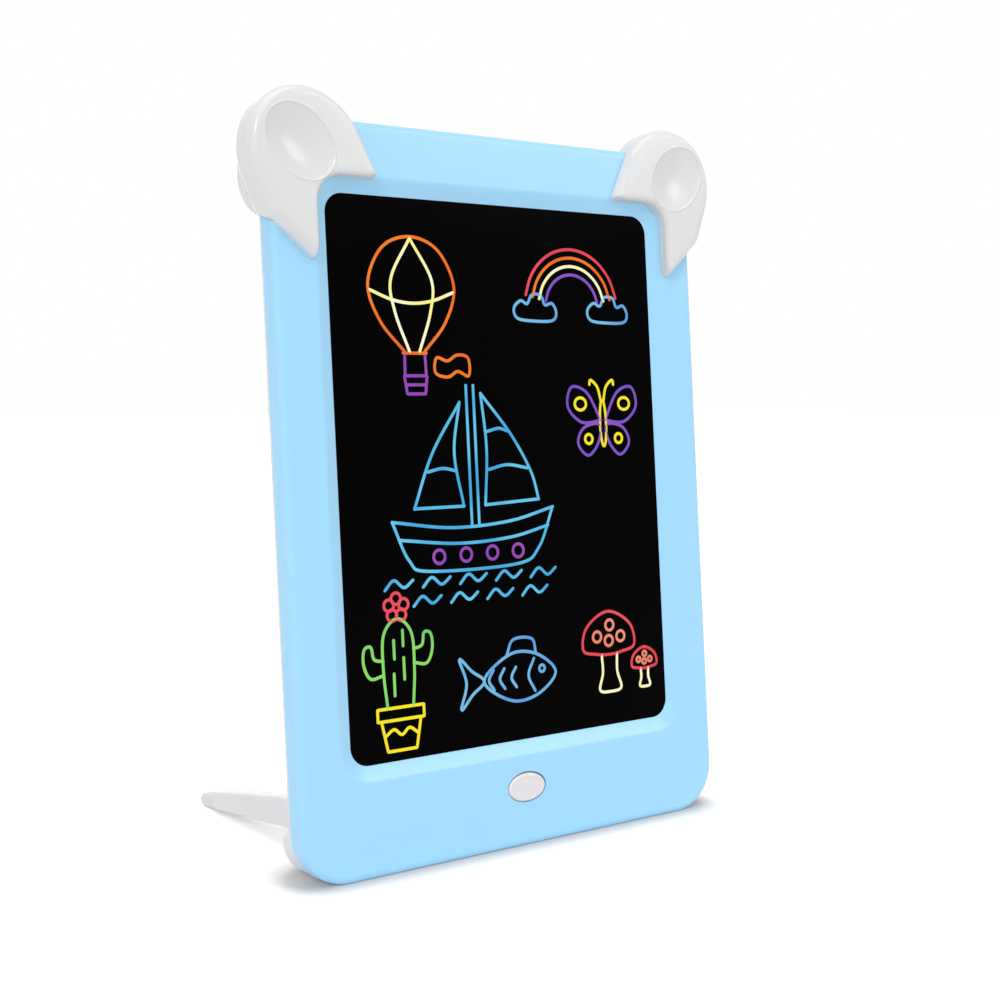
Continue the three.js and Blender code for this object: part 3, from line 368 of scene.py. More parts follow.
def combine(base, tools, operation="DIFFERENCE"):
    """Cuts the tools out of the base, or joins them to it. The tools are used up."""
    for tool in tools:
        modifier = base.modifiers.new("combine", "BOOLEAN")
        modifier.operation = operation
        modifier.solver = "MANIFOLD"
        modifier.object = tool
        apply_modifiers(base)
        bpy.data.objects.remove(tool)
    return base


def coat(made, material, body, angle=SHARP_ANGLE):
    """Gives a piece its finish, its shading and the body that it rides on."""
    made.data.materials.clear()
    made.data.materials.append(material)
    for polygon in made.data.polygons:
        polygon.material_index = 0
        polygon.use_smooth = True
    made.data.set_sharp_from_angle(angle=math.radians(angle))
    weighted = made.modifiers.new("weighted", "WEIGHTED_NORMAL")
    weighted.keep_sharp = True
    weighted.weight = NORMAL_WEIGHT
    apply_modifiers(made)
    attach(made, body)


def dress(made, slot, body, node, angle=SHARP_ANGLE):
    """Coats a piece in the finish of its slot and hides the solid that it stands for."""
    coat(made, FINISHES[slot], body, angle)
    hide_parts(node)


def rounded_ring(half, low, high, radius, y):
    """A rounded rectangle at one depth, symmetric about the middle of the board."""
    return [(x, y, z) for x, z in rectangle_outline(half, low, high, radius, CORNER_STEPS)]


def quarter(radius, steps=ROUND_STEPS):
    """Depth and inset along a rounded edge, from the wall to the face."""
    for step in range(steps + 1):
        angle = math.pi / 2 * step / steps
        yield radius * (1 - math.sin(angle)), radius * (1 - math.cos(angle))


def block(x0, x1, y0, y1, z0, z1):
    corners = [(x0, z0), (x1, z0), (x1, z1), (x0, z1)]
    return stack("block", [[(x, y, z) for x, z in corners] for y in (y0, y1)])


def outline_stack(name, outline, levels, side=1):
    """A body through insets of a convex outline: levels is a list of (depth, inset)."""
    return stack(name, [
        [(side * x, y, z) for x, z in inset_outline(outline, inset)] for y, inset in levels
    ])


def inset_outline(outline, inset):
    """Moves a counter-clockwise outline inwards, each corner along the bisector of its sides."""
    points = np.array(outline, float)
    before, after = points - np.roll(points, 1, 0), np.roll(points, -1, 0) - points
    before /= np.linalg.norm(before, axis=1)[:, None]
    after /= np.linalg.norm(after, axis=1)[:, None]
    normals = np.stack([-before[:, 1] - after[:, 1], before[:, 0] + after[:, 0]], 1)
    scale = 2 / np.maximum((normals ** 2).sum(1), SHARPEST_CORNER)
    return points + normals * scale[:, None] * inset


def arc_outline(*corners):
    """An outline from arcs: each corner is (x, z, radius, start angle, end angle, steps)."""
    points = []
    for x, z, radius, start, end, steps in corners:
        for step in range(steps + 1):
            angle = math.radians(start + (end - start) * step / steps)
            point = (x + radius * math.cos(angle), z + radius * math.sin(angle))
            if not points or math.dist(point, points[-1]) > SAME_POINT:
                points.append(point)
    if math.dist(points[0], points[-1]) < SAME_POINT:
        points.pop()
    return points


def rectangle_outline(half, low, high, radius, steps=ROUND_STEPS):
    x, r = half - radius, radius
    return arc_outline(
        (x, low + r, r, -90, 0, steps), (x, high - r, r, 0, 90, steps),
        (-x, high - r, r, 90, 180, steps), (-x, low + r, r, 180, 270, steps),
    )


def ellipse_ring(rx, rz, y, x=0.0, z=BUTTON_Z, steps=OVAL_STEPS):
    angles = [2 * math.pi * step / steps for step in range(steps)]
    return [(x + rx * math.cos(a), y, z + rz * math.sin(a)) for a in angles]


def turned(name, profile, x, z, steps=TURNED_STEPS):
    """A turned piece along y: the profile is a list of (radius, y), both ends closed flat."""
    return stack(name, [ellipse_ring(radius, radius, y, x, z, steps) for radius, y in profile])


def fillet(before, corner, after, radius, steps=6):
    """Points of an arc that rounds the corner of a path."""
    a, b, c = (np.array(point, float) for point in (before, corner, after))
    into, out = (a - b) / np.linalg.norm(a - b), (c - b) / np.linalg.norm(c - b)
    half_angle = math.acos(float(np.clip(into @ out, -1, 1))) / 2
    reach = radius / math.tan(half_angle)
    centre = b + (into + out) / np.linalg.norm(into + out) * radius / math.sin(half_angle)
    start, end = b + into * reach - centre, b + out * reach - centre
    angle = math.acos(float(np.clip(start @ end / radius ** 2, -1, 1)))
    return [
        centre + (math.sin((1 - t) * angle) * start + math.sin(t * angle) * end) / math.sin(angle)
        for t in (step / steps for step in range(steps + 1))
    ]


# The bezel
def make_bezel():
    def outer(inset, y):
        return rounded_ring(HALF - inset, inset, HEIGHT - inset, CORNER - inset, y)

    def window(out, y):
        return rounded_ring(WINDOW_HALF + out, WINDOW_LOW - out, WINDOW_HIGH + out, WINDOW_RADIUS + out, y)

    rings = [outer(RIM_CHAMFER, BEZEL_DEPTH), outer(0, BEZEL_DEPTH - RIM_CHAMFER)]
    rings += [outer(inset, y) for y, inset in quarter(EDGE_ROUND)]
    face, foot, lip = (SLOPE * 2, 0), (SLOPE, 0), (LIP_FILLET / 2, FACE_WALL - LIP_FILLET / 2)
    path = [*fillet(face, foot, lip, SLOPE_FILLET), lip, (0, FACE_WALL)]
    rings += [window(out, y) for out, y in [*path, (SLOPE, FACE_WALL)]]
    rings += [outer(BEZEL_WALL, FACE_WALL), outer(BEZEL_WALL, BEZEL_DEPTH)]
    bezel = stack("bezel", rings, closed=True)
    combine(bezel, [make_hole(), below_floor()])
    dress(bezel, "bezel_blue", "board", "front_bezel")


def make_hole():
    """The tool for the button's hole, which is a little wider behind its edge."""
    levels = [(-OVERRUN, 0), *((depth, inset) for inset, depth in quarter(HOLE_FLARE))]
    rings = [
        ellipse_ring(HOLE_WIDTH / 2 + HOLE_FLARE - inset, HOLE_HEIGHT / 2 + HOLE_FLARE - inset, y)
        for y, inset in levels
    ]
    return stack("hole", [*rings, ellipse_ring(HOLE_WIDTH / 2, HOLE_HEIGHT / 2, FACE_WALL + OVERRUN)])


def make_button():
    """The button's cap, which hangs a little low in its hole."""
    def ring(rx, rz, y):
        return ellipse_ring(rx, rz, y, z=BUTTON_Z - BUTTON_SAG)

    rx, rz = HOLE_WIDTH / 2 - BUTTON_PLAY, HOLE_HEIGHT / 2 - BUTTON_PLAY
    flange = FACE_WALL + GAP
    rings = [
        ring(rx + FLANGE_REACH, rz + FLANGE_REACH, flange + FLANGE_THICKNESS),
        ring(rx + FLANGE_REACH, rz + FLANGE_REACH, flange),
        ring(rx, rz, flange),
    ]
    rings += [ring(rx - inset, rz - inset, y - BUTTON_PROUD) for y, inset in quarter(BUTTON_ROUND)]
    top = rx - BUTTON_ROUND
    for share in CROWN_SHARES:
        rise = BUTTON_CROWN * (1 - share ** 2)
        rings.append(ring(top * share, (rz - BUTTON_ROUND) * share, -BUTTON_PROUD + BUTTON_CROWN - rise))
    dress(stack("button_cap", rings), "button_white", "power_button", "power_button")


# The ears
def circle(x, z, radius):
    angles = np.linspace(0, 2 * np.pi, CIRCLE_STEPS, endpoint=False)
    return np.stack([x + radius * np.cos(angles), z + radius * np.sin(angles)], 1)


def hull(points):
    """The convex hull of flat points, counter-clockwise."""
    ordered = sorted(map(tuple, points))

    def chain(run):
        kept = []
        for point in run:
            while len(kept) > 1 and cross(kept[-2], kept[-1], point) <= 0:
                kept.pop()
            kept.append(point)
        return kept[:-1]

    return np.array(chain(ordered) + chain(ordered[::-1]))


def cross(a, b, c):
    return (b[0] - a[0]) * (c[1] - a[1]) - (b[1] - a[1]) * (c[0] - a[0])


def distance_to(points, path):
    """How far each point lies from a closed path of straight sides."""
    a, b = path, np.roll(path, -1, 0)
    side = b - a
    away = points[:, None] - a[None]
    along = np.clip((away * side).sum(2) / (side ** 2).sum(1), 0, 1)
    return np.sqrt(((away - along[..., None] * side) ** 2).sum(2).min(1))


def reach_along(angles, centre, path, nearest):
    """How far rays from the centre run to a closed path, to its first or its last crossing."""
    a, b = path - centre, np.roll(path, -1, 0) - centre
    ray = np.stack([np.cos(angles), np.sin(angles)], 1)[:, None]
    side = (b - a)[None]
    across = ray[..., 0] * side[..., 1] - ray[..., 1] * side[..., 0]
    across = np.where(np.abs(across) < PARALLEL, PARALLEL, across)
    along = (a[:, 0] * side[..., 1] - a[:, 1] * side[..., 0]) / across
    share = (a[:, 0] * ray[..., 1] - a[:, 1] * ray[..., 0]) / across
    hit = (along > 0) & (share >= -SHARE_SLACK) & (share <= 1 + SHARE_SLACK)
    if nearest:
        return np.where(hit, along, np.inf).min(1)
    return np.where(hit, along, -np.inf).max(1)


def shell_points():
    angles = np.linspace(0, 2 * np.pi, CIRCLE_STEPS * 2, endpoint=False)
    u, v = EAR_LONG * np.cos(angles), EAR_SHORT * np.sin(angles)
    disc = np.stack([
        EAR_X + u * math.cos(EAR_TILT) - v * math.sin(EAR_TILT),
        EAR_Z + u * math.sin(EAR_TILT) + v * math.cos(EAR_TILT),
    ], 1)
    return np.concatenate([disc, circle(LOBE_X, LOBE_Z, LOBE_RADIUS)])


def ear_outline():
    return hull(np.concatenate([shell_points(), *(circle(x, z, TIP_ROUND) for x, z in ear_tips())]))


def ear_tips():
    inner_x, inner_z = WINDOW_HALF + SLOPE + BORDER_GAP, WINDOW_HIGH + SLOPE - BORDER_GAP
    return (inner_x + TIP_ROUND, EAR_Z - TIP_LOW_DROP), (EAR_X - TIP_SIDE_REACH, inner_z + TIP_ROUND)


def notch_outline():
    """The window's border that the ear keeps clear of, as a closed path."""
    half, high = WINDOW_HALF + SLOPE + BORDER_GAP, WINDOW_HIGH + SLOPE - BORDER_GAP
    return np.array(rectangle_outline(half, WINDOW_LOW, high, BORDER_RADIUS, NOTCH_STEPS))


def edge_drop(distance, reach, height):
    """How far a rounded edge falls back at a distance from the outline."""
    short = 1 - np.clip(distance / reach, 0, 1)
    return height * (1 - np.sqrt(1 - short ** 2))


def dish_reach(angles):
    """How far the dish's rim lies from its middle in each direction."""
    turned_by = angles - DISH_TILT
    return 1 / np.hypot(np.cos(turned_by) / DISH_LONG, np.sin(turned_by) / DISH_SHORT)


def dish_drop(reach, rim):
    """How deep the dish is at a reach from its middle. A low bead runs round its rim."""
    bowl = DISH_DEPTH * (1 - (reach / rim) ** 2)
    bead = BEAD_HEIGHT * np.cos(np.clip((reach - rim) / BEAD_HALF, -1, 1) * np.pi / 2) ** 2
    return (bowl + np.sqrt(bowl ** 2 + DISH_RIM ** 2)) / 2 - bead


def board_form():
    """The closed board, a little larger, with the rounded edges of its bezel and its cover."""
    front = [(y - EAR_FIT, inset) for y, inset in quarter(EDGE_ROUND)][::-1]
    back = [(COVER_BACK + EAR_FIT - y, COVER_INSET + inset) for y, inset in quarter(COVER_ROUND)]
    middle = [(BEZEL_DEPTH, 0), (COVER_FRONT, COVER_INSET)]
    half, high, corner = HALF + EAR_FIT, HEIGHT + EAR_FIT, CORNER + EAR_FIT
    return stack("corner", [
        rounded_ring(half - inset, inset - EAR_FIT, high - inset, corner - inset, y)
        for y, inset in front + middle + back
    ])


def side_foot(side):
    """Cuts the ear's lower end on the side of the board so that it rises to the back."""
    low = EAR_Z - EAR_SHORT * 2
    corners = [(y, EAR_Z - drop) for y, drop in FOOT_RISE] + [(OVERRUN * 4, low), (FOOT_RISE[0][0], low)]
    xs = (side * (HALF - FOOT_INSET), side * (HALF + OVERRUN * 3))
    return stack("foot_cut", [[(x, y, z) for y, z in corners] for x in xs])


def make_ear_front(side, name):
    """The face as rings round the dish's middle, cut by the outline, the notch and the board."""
    centre = np.array([DISH_X, DISH_Z])
    outer, notch = ear_outline(), notch_outline()
    angles = np.linspace(-np.pi, np.pi, RAY_COUNT, endpoint=False)
    for x, z in ear_tips():
        middle = math.atan2(z - DISH_Z, x - DISH_X)
        near = np.radians(np.linspace(-TIP_SPREAD, TIP_SPREAD, TIP_RAYS))
        angles = np.concatenate([angles, middle + near])
    angles = np.unique(np.round(np.mod(angles + np.pi, 2 * np.pi) - np.pi, RAY_DIGITS))
    far = np.minimum(reach_along(angles, centre, outer, False), reach_along(angles, centre, notch, True))
    rays = np.stack([np.cos(angles), np.sin(angles)], 1)
    rim = dish_reach(angles)
    rings = [[(side * x, EAR_SEAM - SEAM_LINE, z) for x, z in centre + rays * far[:, None]]]
    for reach in ear_reaches(far, rim):
        flat = centre + rays * reach[:, None]
        drop = edge_drop(distance_to(flat, outer), EAR_REACH, EAR_PROUD)
        drop = drop + edge_drop(distance_to(flat, notch), NOTCH_ROUND, NOTCH_ROUND) + dish_drop(reach, rim)
        depths = -EAR_PROUD + np.minimum(drop, EAR_PROUD + GAP / 2)
        rings.append([(side * x, y, z) for (x, z), y in zip(flat, depths)])
    return combine(stack(name, rings), [board_form(), side_foot(side)])


# Where rings cross the ear's face, as shares of its edge, its middle, the dish's bead and its bowl
EDGE_SHARES = (0, 0.004, 0.016, 0.036, 0.064, 0.1, 0.144, 0.2, 0.26, 0.33, 0.41, 0.5, 0.6, 0.72, 0.86, 1)
MIDDLE_SHARES = (0.3, 0.6, 1)
BEAD_SHARES = (0, 0.17, 0.33, 0.5, 0.67, 0.83, 1)
BOWL_SHARES = (0.92, 0.88, 0.82, 0.75, 0.67, 0.58, 0.48, 0.38, 0.28, 0.18, 0.09, 0.02)
EDGE_PART, EDGE_MARGIN, SHOULDER_PART = 0.6, 1.2, 0.3


def ear_reaches(far, rim):
    """How far the rings of the ear's face lie from the dish's middle."""
    room = far - rim
    edge = np.minimum(room * EDGE_PART, EAR_REACH + EDGE_MARGIN)
    shoulder = np.minimum(room * SHOULDER_PART, BEAD_HALF)
    for share in EDGE_SHARES:
        yield far - edge * share
    for share in MIDDLE_SHARES:
        yield far - edge - (room - edge - shoulder) * share
    for share in reversed(BEAD_SHARES[:-1]):
        yield rim + shoulder * share
    for share in BEAD_SHARES[1:]:
        yield rim - BEAD_HALF * share
    for share in BOWL_SHARES:
        yield rim * share


def ear_back_part(outline, rounding, back, side, name):
    """From the seam straight back, then rounded off at the back."""
    levels = [(EAR_SEAM + SEAM_LINE, 0), *((back - y, inset) for y, inset in quarter(rounding))]
    return outline_stack(name, outline, levels, side)


def make_ear_rear(side, name):
    circles = [circle(EAR_X + dx, EAR_Z + dz, radius) for dx, dz, radius in CLIP_CIRCLES]
    ear = ear_back_part(hull(np.concatenate(circles)), CLIP_ROUND, EAR_BACK, side, name)
    dome = ear_back_part(hull(shell_points()), DOME_ROUND, EAR_SEAM + GAP + DOME_DEPTH, side, "dome")
    combine(ear, [dome], "UNION")
    recess = screw_recess(side * EAR_SCREW_X, EAR_SCREW_Z, EAR_SCREW)
    return combine(ear, [board_form(), recess, side_foot(side)])


# The back cover and its door
def band_outline():
    radius, upper = CORNER - BAND_INSET, HALF - BAND_INSET - BAND_STEP
    lower, r = HALF - BAND_INSET, BAND_RADIUS
    right = [
        (lower - radius, radius, radius, -90, 0, BAND_CORNER_STEPS),
        (lower, BAND_STEP_Z, *PLAIN), (upper, BAND_STEP_Z + BAND_STEP, *PLAIN),
        (upper - r, BAND_TOP - r, r, 0, 90, BAND_STEPS),
    ]
    left = [(-x, z, radius_, 180 - b, 180 - a, count) for x, z, radius_, a, b, count in reversed(right)]
    return arc_outline(*right, *left)


def plate_levels(front, back, rounding, steps=PLATE_STEPS):
    return [(front, 0), *((back - y, inset) for y, inset in quarter(rounding, steps))]


def door_ear_outline(play):
    top = DOOR_HIGH + DOOR_EAR_HEIGHT + play
    return rectangle_outline(DOOR_EAR_WIDTH / 2 + play, DOOR_HIGH - DOOR_RADIUS * 2, top, DOOR_RADIUS)


def door_outline(play):
    return rectangle_outline(DOOR_HALF + play, DOOR_LOW - play, DOOR_HIGH + play, DOOR_RADIUS)


def screw_places():
    return [(side * (HALF - SCREW_INSET), HEIGHT * share) for share in SCREW_SHARES for side in (-1, 1)]


def square(half):
    return [(-half, -half), (half, -half), (half, half), (-half, half)]


def below_floor():
    """Cuts off what reaches below the floor, on which the board stands with its flat sole."""
    corners = square((WIDTH + HEIGHT) * MM)
    rings = [[(x, y, z) for x, y in corners] for z in (-FLOOR_CUT_DEPTH, 0.0)]
    return stack("floor_cut", rings, matrix=Matrix.Identity(4))


def make_cover():
    half, inset = HALF - COVER_INSET, COVER_INSET
    cover = stack("cover", [
        rounded_ring(half - more, inset + more, HEIGHT - inset - more, CORNER - inset - more, y)
        for y, more in plate_levels(COVER_FRONT, COVER_BACK, COVER_ROUND, ROUND_STEPS)
    ])
    band = outline_stack("band", band_outline(), plate_levels(COVER_FRONT + GAP, COVER_DEPTH, BAND_ROUND))
    hump = outline_stack(
        "hump", rectangle_outline(HUMP_HALF, BAND_TOP - HUMP_RADIUS * 2, HUMP_TOP, HUMP_RADIUS),
        plate_levels(COVER_FRONT + GAP * 1.5, COVER_DEPTH, BAND_ROUND),
    )
    combine(cover, [band, hump, *make_lugs(half - COVER_ROUND)], "UNION")
    recesses = [screw_recess(x, z, CASE_SCREW) for x, z in screw_places()]
    combine(cover, [*inside_cuts(), *side_cuts(-1), *side_cuts(1), *recesses, below_floor()])
    dress(cover, "shell_white", "board", "back_cover")


def make_lugs(outer):
    inner, middle, half = outer - LUG_WIDTH, COVER_BACK - COVER_THICKNESS / 2, LUG_HEIGHT / 2
    return [
        block(x0, x1, middle, COVER_BACK + LUG_DEPTH, LUG_Z - half, LUG_Z + half)
        for x0, x1 in ((-outer, -inner), (inner, outer))
    ]


def inside_cuts():
    """The cover's hollow, the battery box, the door's recess and the hole of its screw."""
    inner, hole = LEG_X - PIN_HALF - COVER_WALL, DOOR_SHANK + 2 * GAP
    return [
        block(-inner, inner, COVER_FRONT - OVERRUN, HOLLOW_BACK, 2 * COVER_WALL, BAND_TOP - COVER_WALL),
        block(-BOX_HALF, BOX_HALF, BOX_FLOOR, BEYOND, BOX_BASE, BOX_TOP),
        recess_tool(door_outline(GAP)), recess_tool(door_ear_outline(GAP)),
        turned("cut", [(hole, COVER_DEPTH - DOOR_SCREW_LENGTH - GAP), (hole, BEYOND)], 0, DOOR_SCREW_Z),
    ]


def side_cuts(side):
    """On one side, the window for the door's tab and the bay of the leg."""
    x, bay = side * DOOR_TAB_SPREAD, side * LEG_X
    tab_window = DOOR_TAB_REACH * 2 + DOOR_TAB_THICKNESS
    yield block(
        x - DOOR_TAB_WIDTH / 2 - GAP, x + DOOR_TAB_WIDTH / 2 + GAP, DOOR_FRONT - GAP - tab_window,
        HOLLOW_BACK, DOOR_LOW - DOOR_TAB_REACH - GAP, BOX_BASE + OVERRUN,
    )
    yield block(
        bay - BAY_HALF, bay + BAY_HALF, COVER_BACK, BEYOND,
        PIN_Z - LEG_HALF - BAY_CLEARANCE - GAP, BAND_TOP + OVERRUN,
    )


def screw_recess(x, z, sizes):
    """Room for a screw's head, with a small chamfer round its mouth."""
    back, _, head, head_height, _ = sizes
    wide, mouth = head + GAP, head + GAP + GAP
    return turned("recess", [
        (wide, back - head_height - GAP), (wide, back - GAP), (mouth, back), (mouth, back + OVERRUN),
    ], x, z)


def recess_tool(outline):
    """A recess with a small chamfer round its mouth."""
    return outline_stack("cut", outline, [
        (DOOR_FRONT - GAP, 0), (COVER_DEPTH - GAP, 0), (COVER_DEPTH, -GAP), (BEYOND, -GAP),
    ])


def make_door():
    levels = plate_levels(DOOR_FRONT, COVER_DEPTH, DOOR_ROUND, DOOR_STEPS)
    door = outline_stack("door", door_outline(0), levels)
    parts = [outline_stack("ear", door_ear_outline(0), levels)]
    hook = DOOR_FRONT - GAP - 2 * DOOR_TAB_THICKNESS
    for side in (-1, 1):
        x0 = side * DOOR_TAB_SPREAD - DOOR_TAB_WIDTH / 2
        x1 = x0 + DOOR_TAB_WIDTH
        parts.append(block(
            x0, x1, hook, DOOR_FRONT + DOOR_THICKNESS / 2,
            DOOR_LOW + HAIR, DOOR_LOW + DOOR_TAB_THICKNESS,
        ))
        parts.append(block(
            x0 + HAIR, x1 - HAIR, hook + HAIR, hook + DOOR_TAB_THICKNESS,
            DOOR_LOW - DOOR_TAB_REACH, DOOR_LOW + DOOR_TAB_THICKNESS / 2,
        ))
    combine(door, parts, "UNION")
    hole, head = DOOR_SHANK + GAP, DOOR_HEAD + GAP
    seat = COVER_DEPTH - DOOR_HEAD_HEIGHT - GAP
    profile = [(hole, DOOR_FRONT - OVERRUN), (hole, seat), (head, seat), (head, BEYOND)]
    combine(door, [turned("cut", profile, 0, DOOR_SCREW_Z), *grip_cuts()])
    dress(door, "shell_white", "battery_door", "battery_door")


def grip_cuts():
    """Grooves for a finger tip, narrower at their floor."""
    half, back = GRIP_WIDTH / 2, COVER_DEPTH
    levels = [(BEYOND, -GRIP_FLARE), (back, -GRIP_FLARE), (back - GRIP_HEIGHT, GRIP_DRAFT)]
    for place in range(GRIP_COUNT):
        z = DOOR_HIGH - GRIP_DROP - place * GRIP_PITCH
        outline = rectangle_outline(GRIP_LENGTH / 2, z - half, z + half, half - HAIR)
        yield outline_stack("grip", outline, levels)


def make_screw(name, node, body, x, z, sizes):
    """A pan-head screw with a cross recess."""
    back, shank, head, head_height, length = sizes
    crown = head_height * CROWN_SHARE
    profile = [
        (shank * POINT_SHARE, back - length), (shank, back - length + shank), (shank, back - head_height),
        (head, back - head_height), (head, back - crown),
    ]
    profile += [
        (head * math.cos(angle) ** CROWN_POWER, back - crown + crown * math.sin(angle))
        for angle in np.linspace(CROWN_START, math.pi / 2 - CROWN_REST, CROWN_RINGS)
    ]
    screw = turned(name, profile, x, z, SCREW_STEPS)
    wide, deep, reach = shank * CROSS_WIDTH, head_height * CROSS_DEPTH, head * CROSS_REACH
    combine(screw, [
        block(x - reach, x + reach, back - deep, back + OVERRUN, z - wide, z + wide),
        block(x - wide, x + wide, back - deep, back + OVERRUN, z - reach, z + reach),
    ])
    dress(screw, "steel", body, node)


# The legs
def leg_piece(name, outline, half_width, rounding, side):
    """A prism across the leg, with rounded long edges: the outline is in y and z from the pin."""
    edge = list(quarter(rounding, PLATE_STEPS))
    levels = [(-half_width + depth, inset) for depth, inset in reversed(edge)]
    levels += [(half_width - depth, inset) for depth, inset in edge]
    rings = [[(x, y, z) for y, z in inset_outline(outline, inset)] for x, inset in levels]
    return stack(name, rings, matrix=leg_matrix(side))


def make_leg(side, word):
    under, r = -LEG_HALF, LEG_END_ROUND
    top = under + LEG_END
    outline = arc_outline(
        (0, 0, LEG_HALF, 90, 270, LEG_STEPS), (LEG_LENGTH - r, under + r, r, -90, 0, LEG_END_STEPS),
        (LEG_LENGTH - r, top - r, r, 0, 90, LEG_END_STEPS), (LEG_STRAIGHT, LEG_HALF, *PLAIN),
    )
    leg = leg_piece(f"leg_{word}", outline, LEG_WIDTH / 2, LEG_ROUND, side)
    dress(leg, "shell_white", f"{word}_leg", f"stand_leg_{word}")
    half, start = TIP_THICKNESS / 2, LEG_LENGTH + GAP
    tip_outline = arc_outline(
        (start, under, *PLAIN), (LEG_LENGTH + TIP_LENGTH - half, under + half, half, -90, 90, TIP_STEPS),
        (start, under + TIP_THICKNESS, *PLAIN),
    )
    tip = leg_piece(f"foot_{word}", tip_outline, TIP_WIDTH / 2, LEG_ROUND, side)
    dress(tip, "tip_rubber", f"{word}_leg", f"leg_tip_{word}")


make_bezel()
make_button()
make_cover()
make_door()
for side, word in ((-1, "left"), (1, "right")):
    for half, make, name in (("front", make_ear_front, "ear_shell"), ("rear", make_ear_rear, "ear_clip")):
        dress(make(side, f"{name}_{word}"), "ear_white", "board", f"{word}_ear_{half}", EAR_SHARP_ANGLE)
    make_leg(side, word)
    make_screw(f"ear_fixing_{word}", f"{word}_ear_screw", "board", side * EAR_SCREW_X, EAR_SCREW_Z, EAR_SCREW)
for number, (x, z) in enumerate(screw_places(), 1):
    make_screw(f"cover_fixing_{number}", f"case_screw_{number}", "board", x, z, CASE_SCREW)
make_screw("door_fixing", "battery_door_screw", "battery_door", 0, DOOR_SCREW_Z, DOOR_SCREW)


# Drawings in marker ink on the panel. A stroke is given in x and z from its motif's middle. It is a
# function that takes the motif's place on the board and gives a path, and whether the path is closed
INK_WIDTH, INK_HEIGHT, INK_BITE = 1.15, 0.12, 0.02
INK_STEP, CURVE_STEPS = 0.6, 12
INK_CAP_ANGLES = (80, 55, 28)
INK_SIDE, INK_SHOULDER = 0.7, INK_HEIGHT * 0.7
INK_SECTION = ((-1, 0), (-INK_SIDE, INK_SHOULDER), (0, INK_HEIGHT), (INK_SIDE, INK_SHOULDER), (1, 0))
STROKE_SHARES = (0, 0.04, 0.5, 0.96)


def smooth_path(points, closed):
    """A smooth curve through the points, at an even spacing."""
    knots = np.array(points, float)
    if len(knots) < 3 and not closed:
        return even_path(knots, closed)
    if closed:
        padded = np.pad(knots, ((1, 2), (0, 0)), "wrap")
    else:
        padded = np.pad(knots, ((1, 1), (0, 0)), "reflect", reflect_type="odd")
    curve = []
    for place in range(len(knots) if closed else len(knots) - 1):
        a, b, c, d = padded[place:place + 4]
        for t in np.linspace(0, 1, CURVE_STEPS, endpoint=False):
            curve.append((2 * b + (c - a) * t + (2 * a - 5 * b + 4 * c - d) * t ** 2
                          + (3 * b - a - 3 * c + d) * t ** 3) / 2)
    if not closed:
        curve.append(knots[-1])
    return even_path(np.array(curve), closed)


def even_path(path, closed):
    run = np.concatenate([path, path[:1]]) if closed else path
    along = np.concatenate([[0], np.cumsum(np.linalg.norm(np.diff(run, axis=0), axis=1))])
    count = max(int(along[-1] / INK_STEP), 2)
    stations = np.linspace(0, along[-1], count, endpoint=not closed)
    return np.stack([np.interp(stations, along, run[:, axis]) for axis in (0, 1)], 1)


def ink_line(points, closed):
    """Rings of one low rounded line of ink. An open line has round ends."""
    path = smooth_path(points, closed)
    if closed:
        heading = np.roll(path, -1, 0) - np.roll(path, 1, 0)
    else:
        heading = np.gradient(path, axis=0)
    heading /= np.linalg.norm(heading, axis=1)[:, None]
    reach = INK_WIDTH / 2
    half = np.full(len(path), reach)
    if not closed:
        caps = [(math.cos(angle), math.sin(angle)) for angle in np.radians(INK_CAP_ANGLES)]
        start = [path[0] - heading[0] * reach * out for _, out in caps]
        end = [path[-1] + heading[-1] * reach * out for _, out in reversed(caps)]
        widths = [reach * across for across, _ in caps]
        path = np.concatenate([start, path, end])
        heading = np.pad(heading, ((len(caps), len(caps)), (0, 0)), "edge")
        half = np.concatenate([widths, half, widths[::-1]])
    rings = []
    for (x, z), (right, up), width in zip(path, heading, half):
        rings.append([
            (x + -up * width * across, PANEL_FRONT + INK_BITE - height, z + right * width * across)
            for across, height in INK_SECTION
        ])
    return rings


def shifted(place, points, size=1, side=1):
    x, z = place
    return [(x + side * across * size, z + up * size) for across, up in points]


def free(*points, closed=False, size=1, side=1):
    """A smooth stroke."""
    return lambda place: (shifted(place, points, size, side), closed)


def sharp(*points, closed=False):
    """Straight strokes: points close to each corner keep the smooth curve from rounding it."""
    def stroke(place):
        corners = shifted(place, points + points[:1] if closed else points)
        path = []
        for (x, z), (next_x, next_z) in zip(corners, corners[1:]):
            path += [(x + (next_x - x) * share, z + (next_z - z) * share) for share in STROKE_SHARES]
        return (path if closed else path + corners[-1:]), closed
    return stroke


def oval(middle, rx, rz=None, start=0, end=360, steps=10):
    """An ellipse or an arc of one."""
    def stroke(place):
        closed = end - start == 360
        (x, z), = shifted(place, [middle])
        angles = np.radians(np.linspace(start, end, steps, endpoint=not closed))
        return [(x + rx * math.cos(a), z + (rz or rx) * math.sin(a)) for a in angles], closed
    return stroke


def draw(name, shades, *groups):
    """One colour of ink is one piece. Each group is a list of places and the strokes at each of them."""
    lines = [stroke(place) for places, strokes in groups for place in places for stroke in strokes]
    points, faces = [], []
    for path, closed in lines:
        rings = ink_line(path, closed)
        base = len(points)
        points += [point for ring in rings for point in ring]
        faces += [tuple(base + corner for corner in face) for face in rings_to_faces(rings, closed)]
    coat(make_object(name, points, faces), ink(name, *shades), "board")


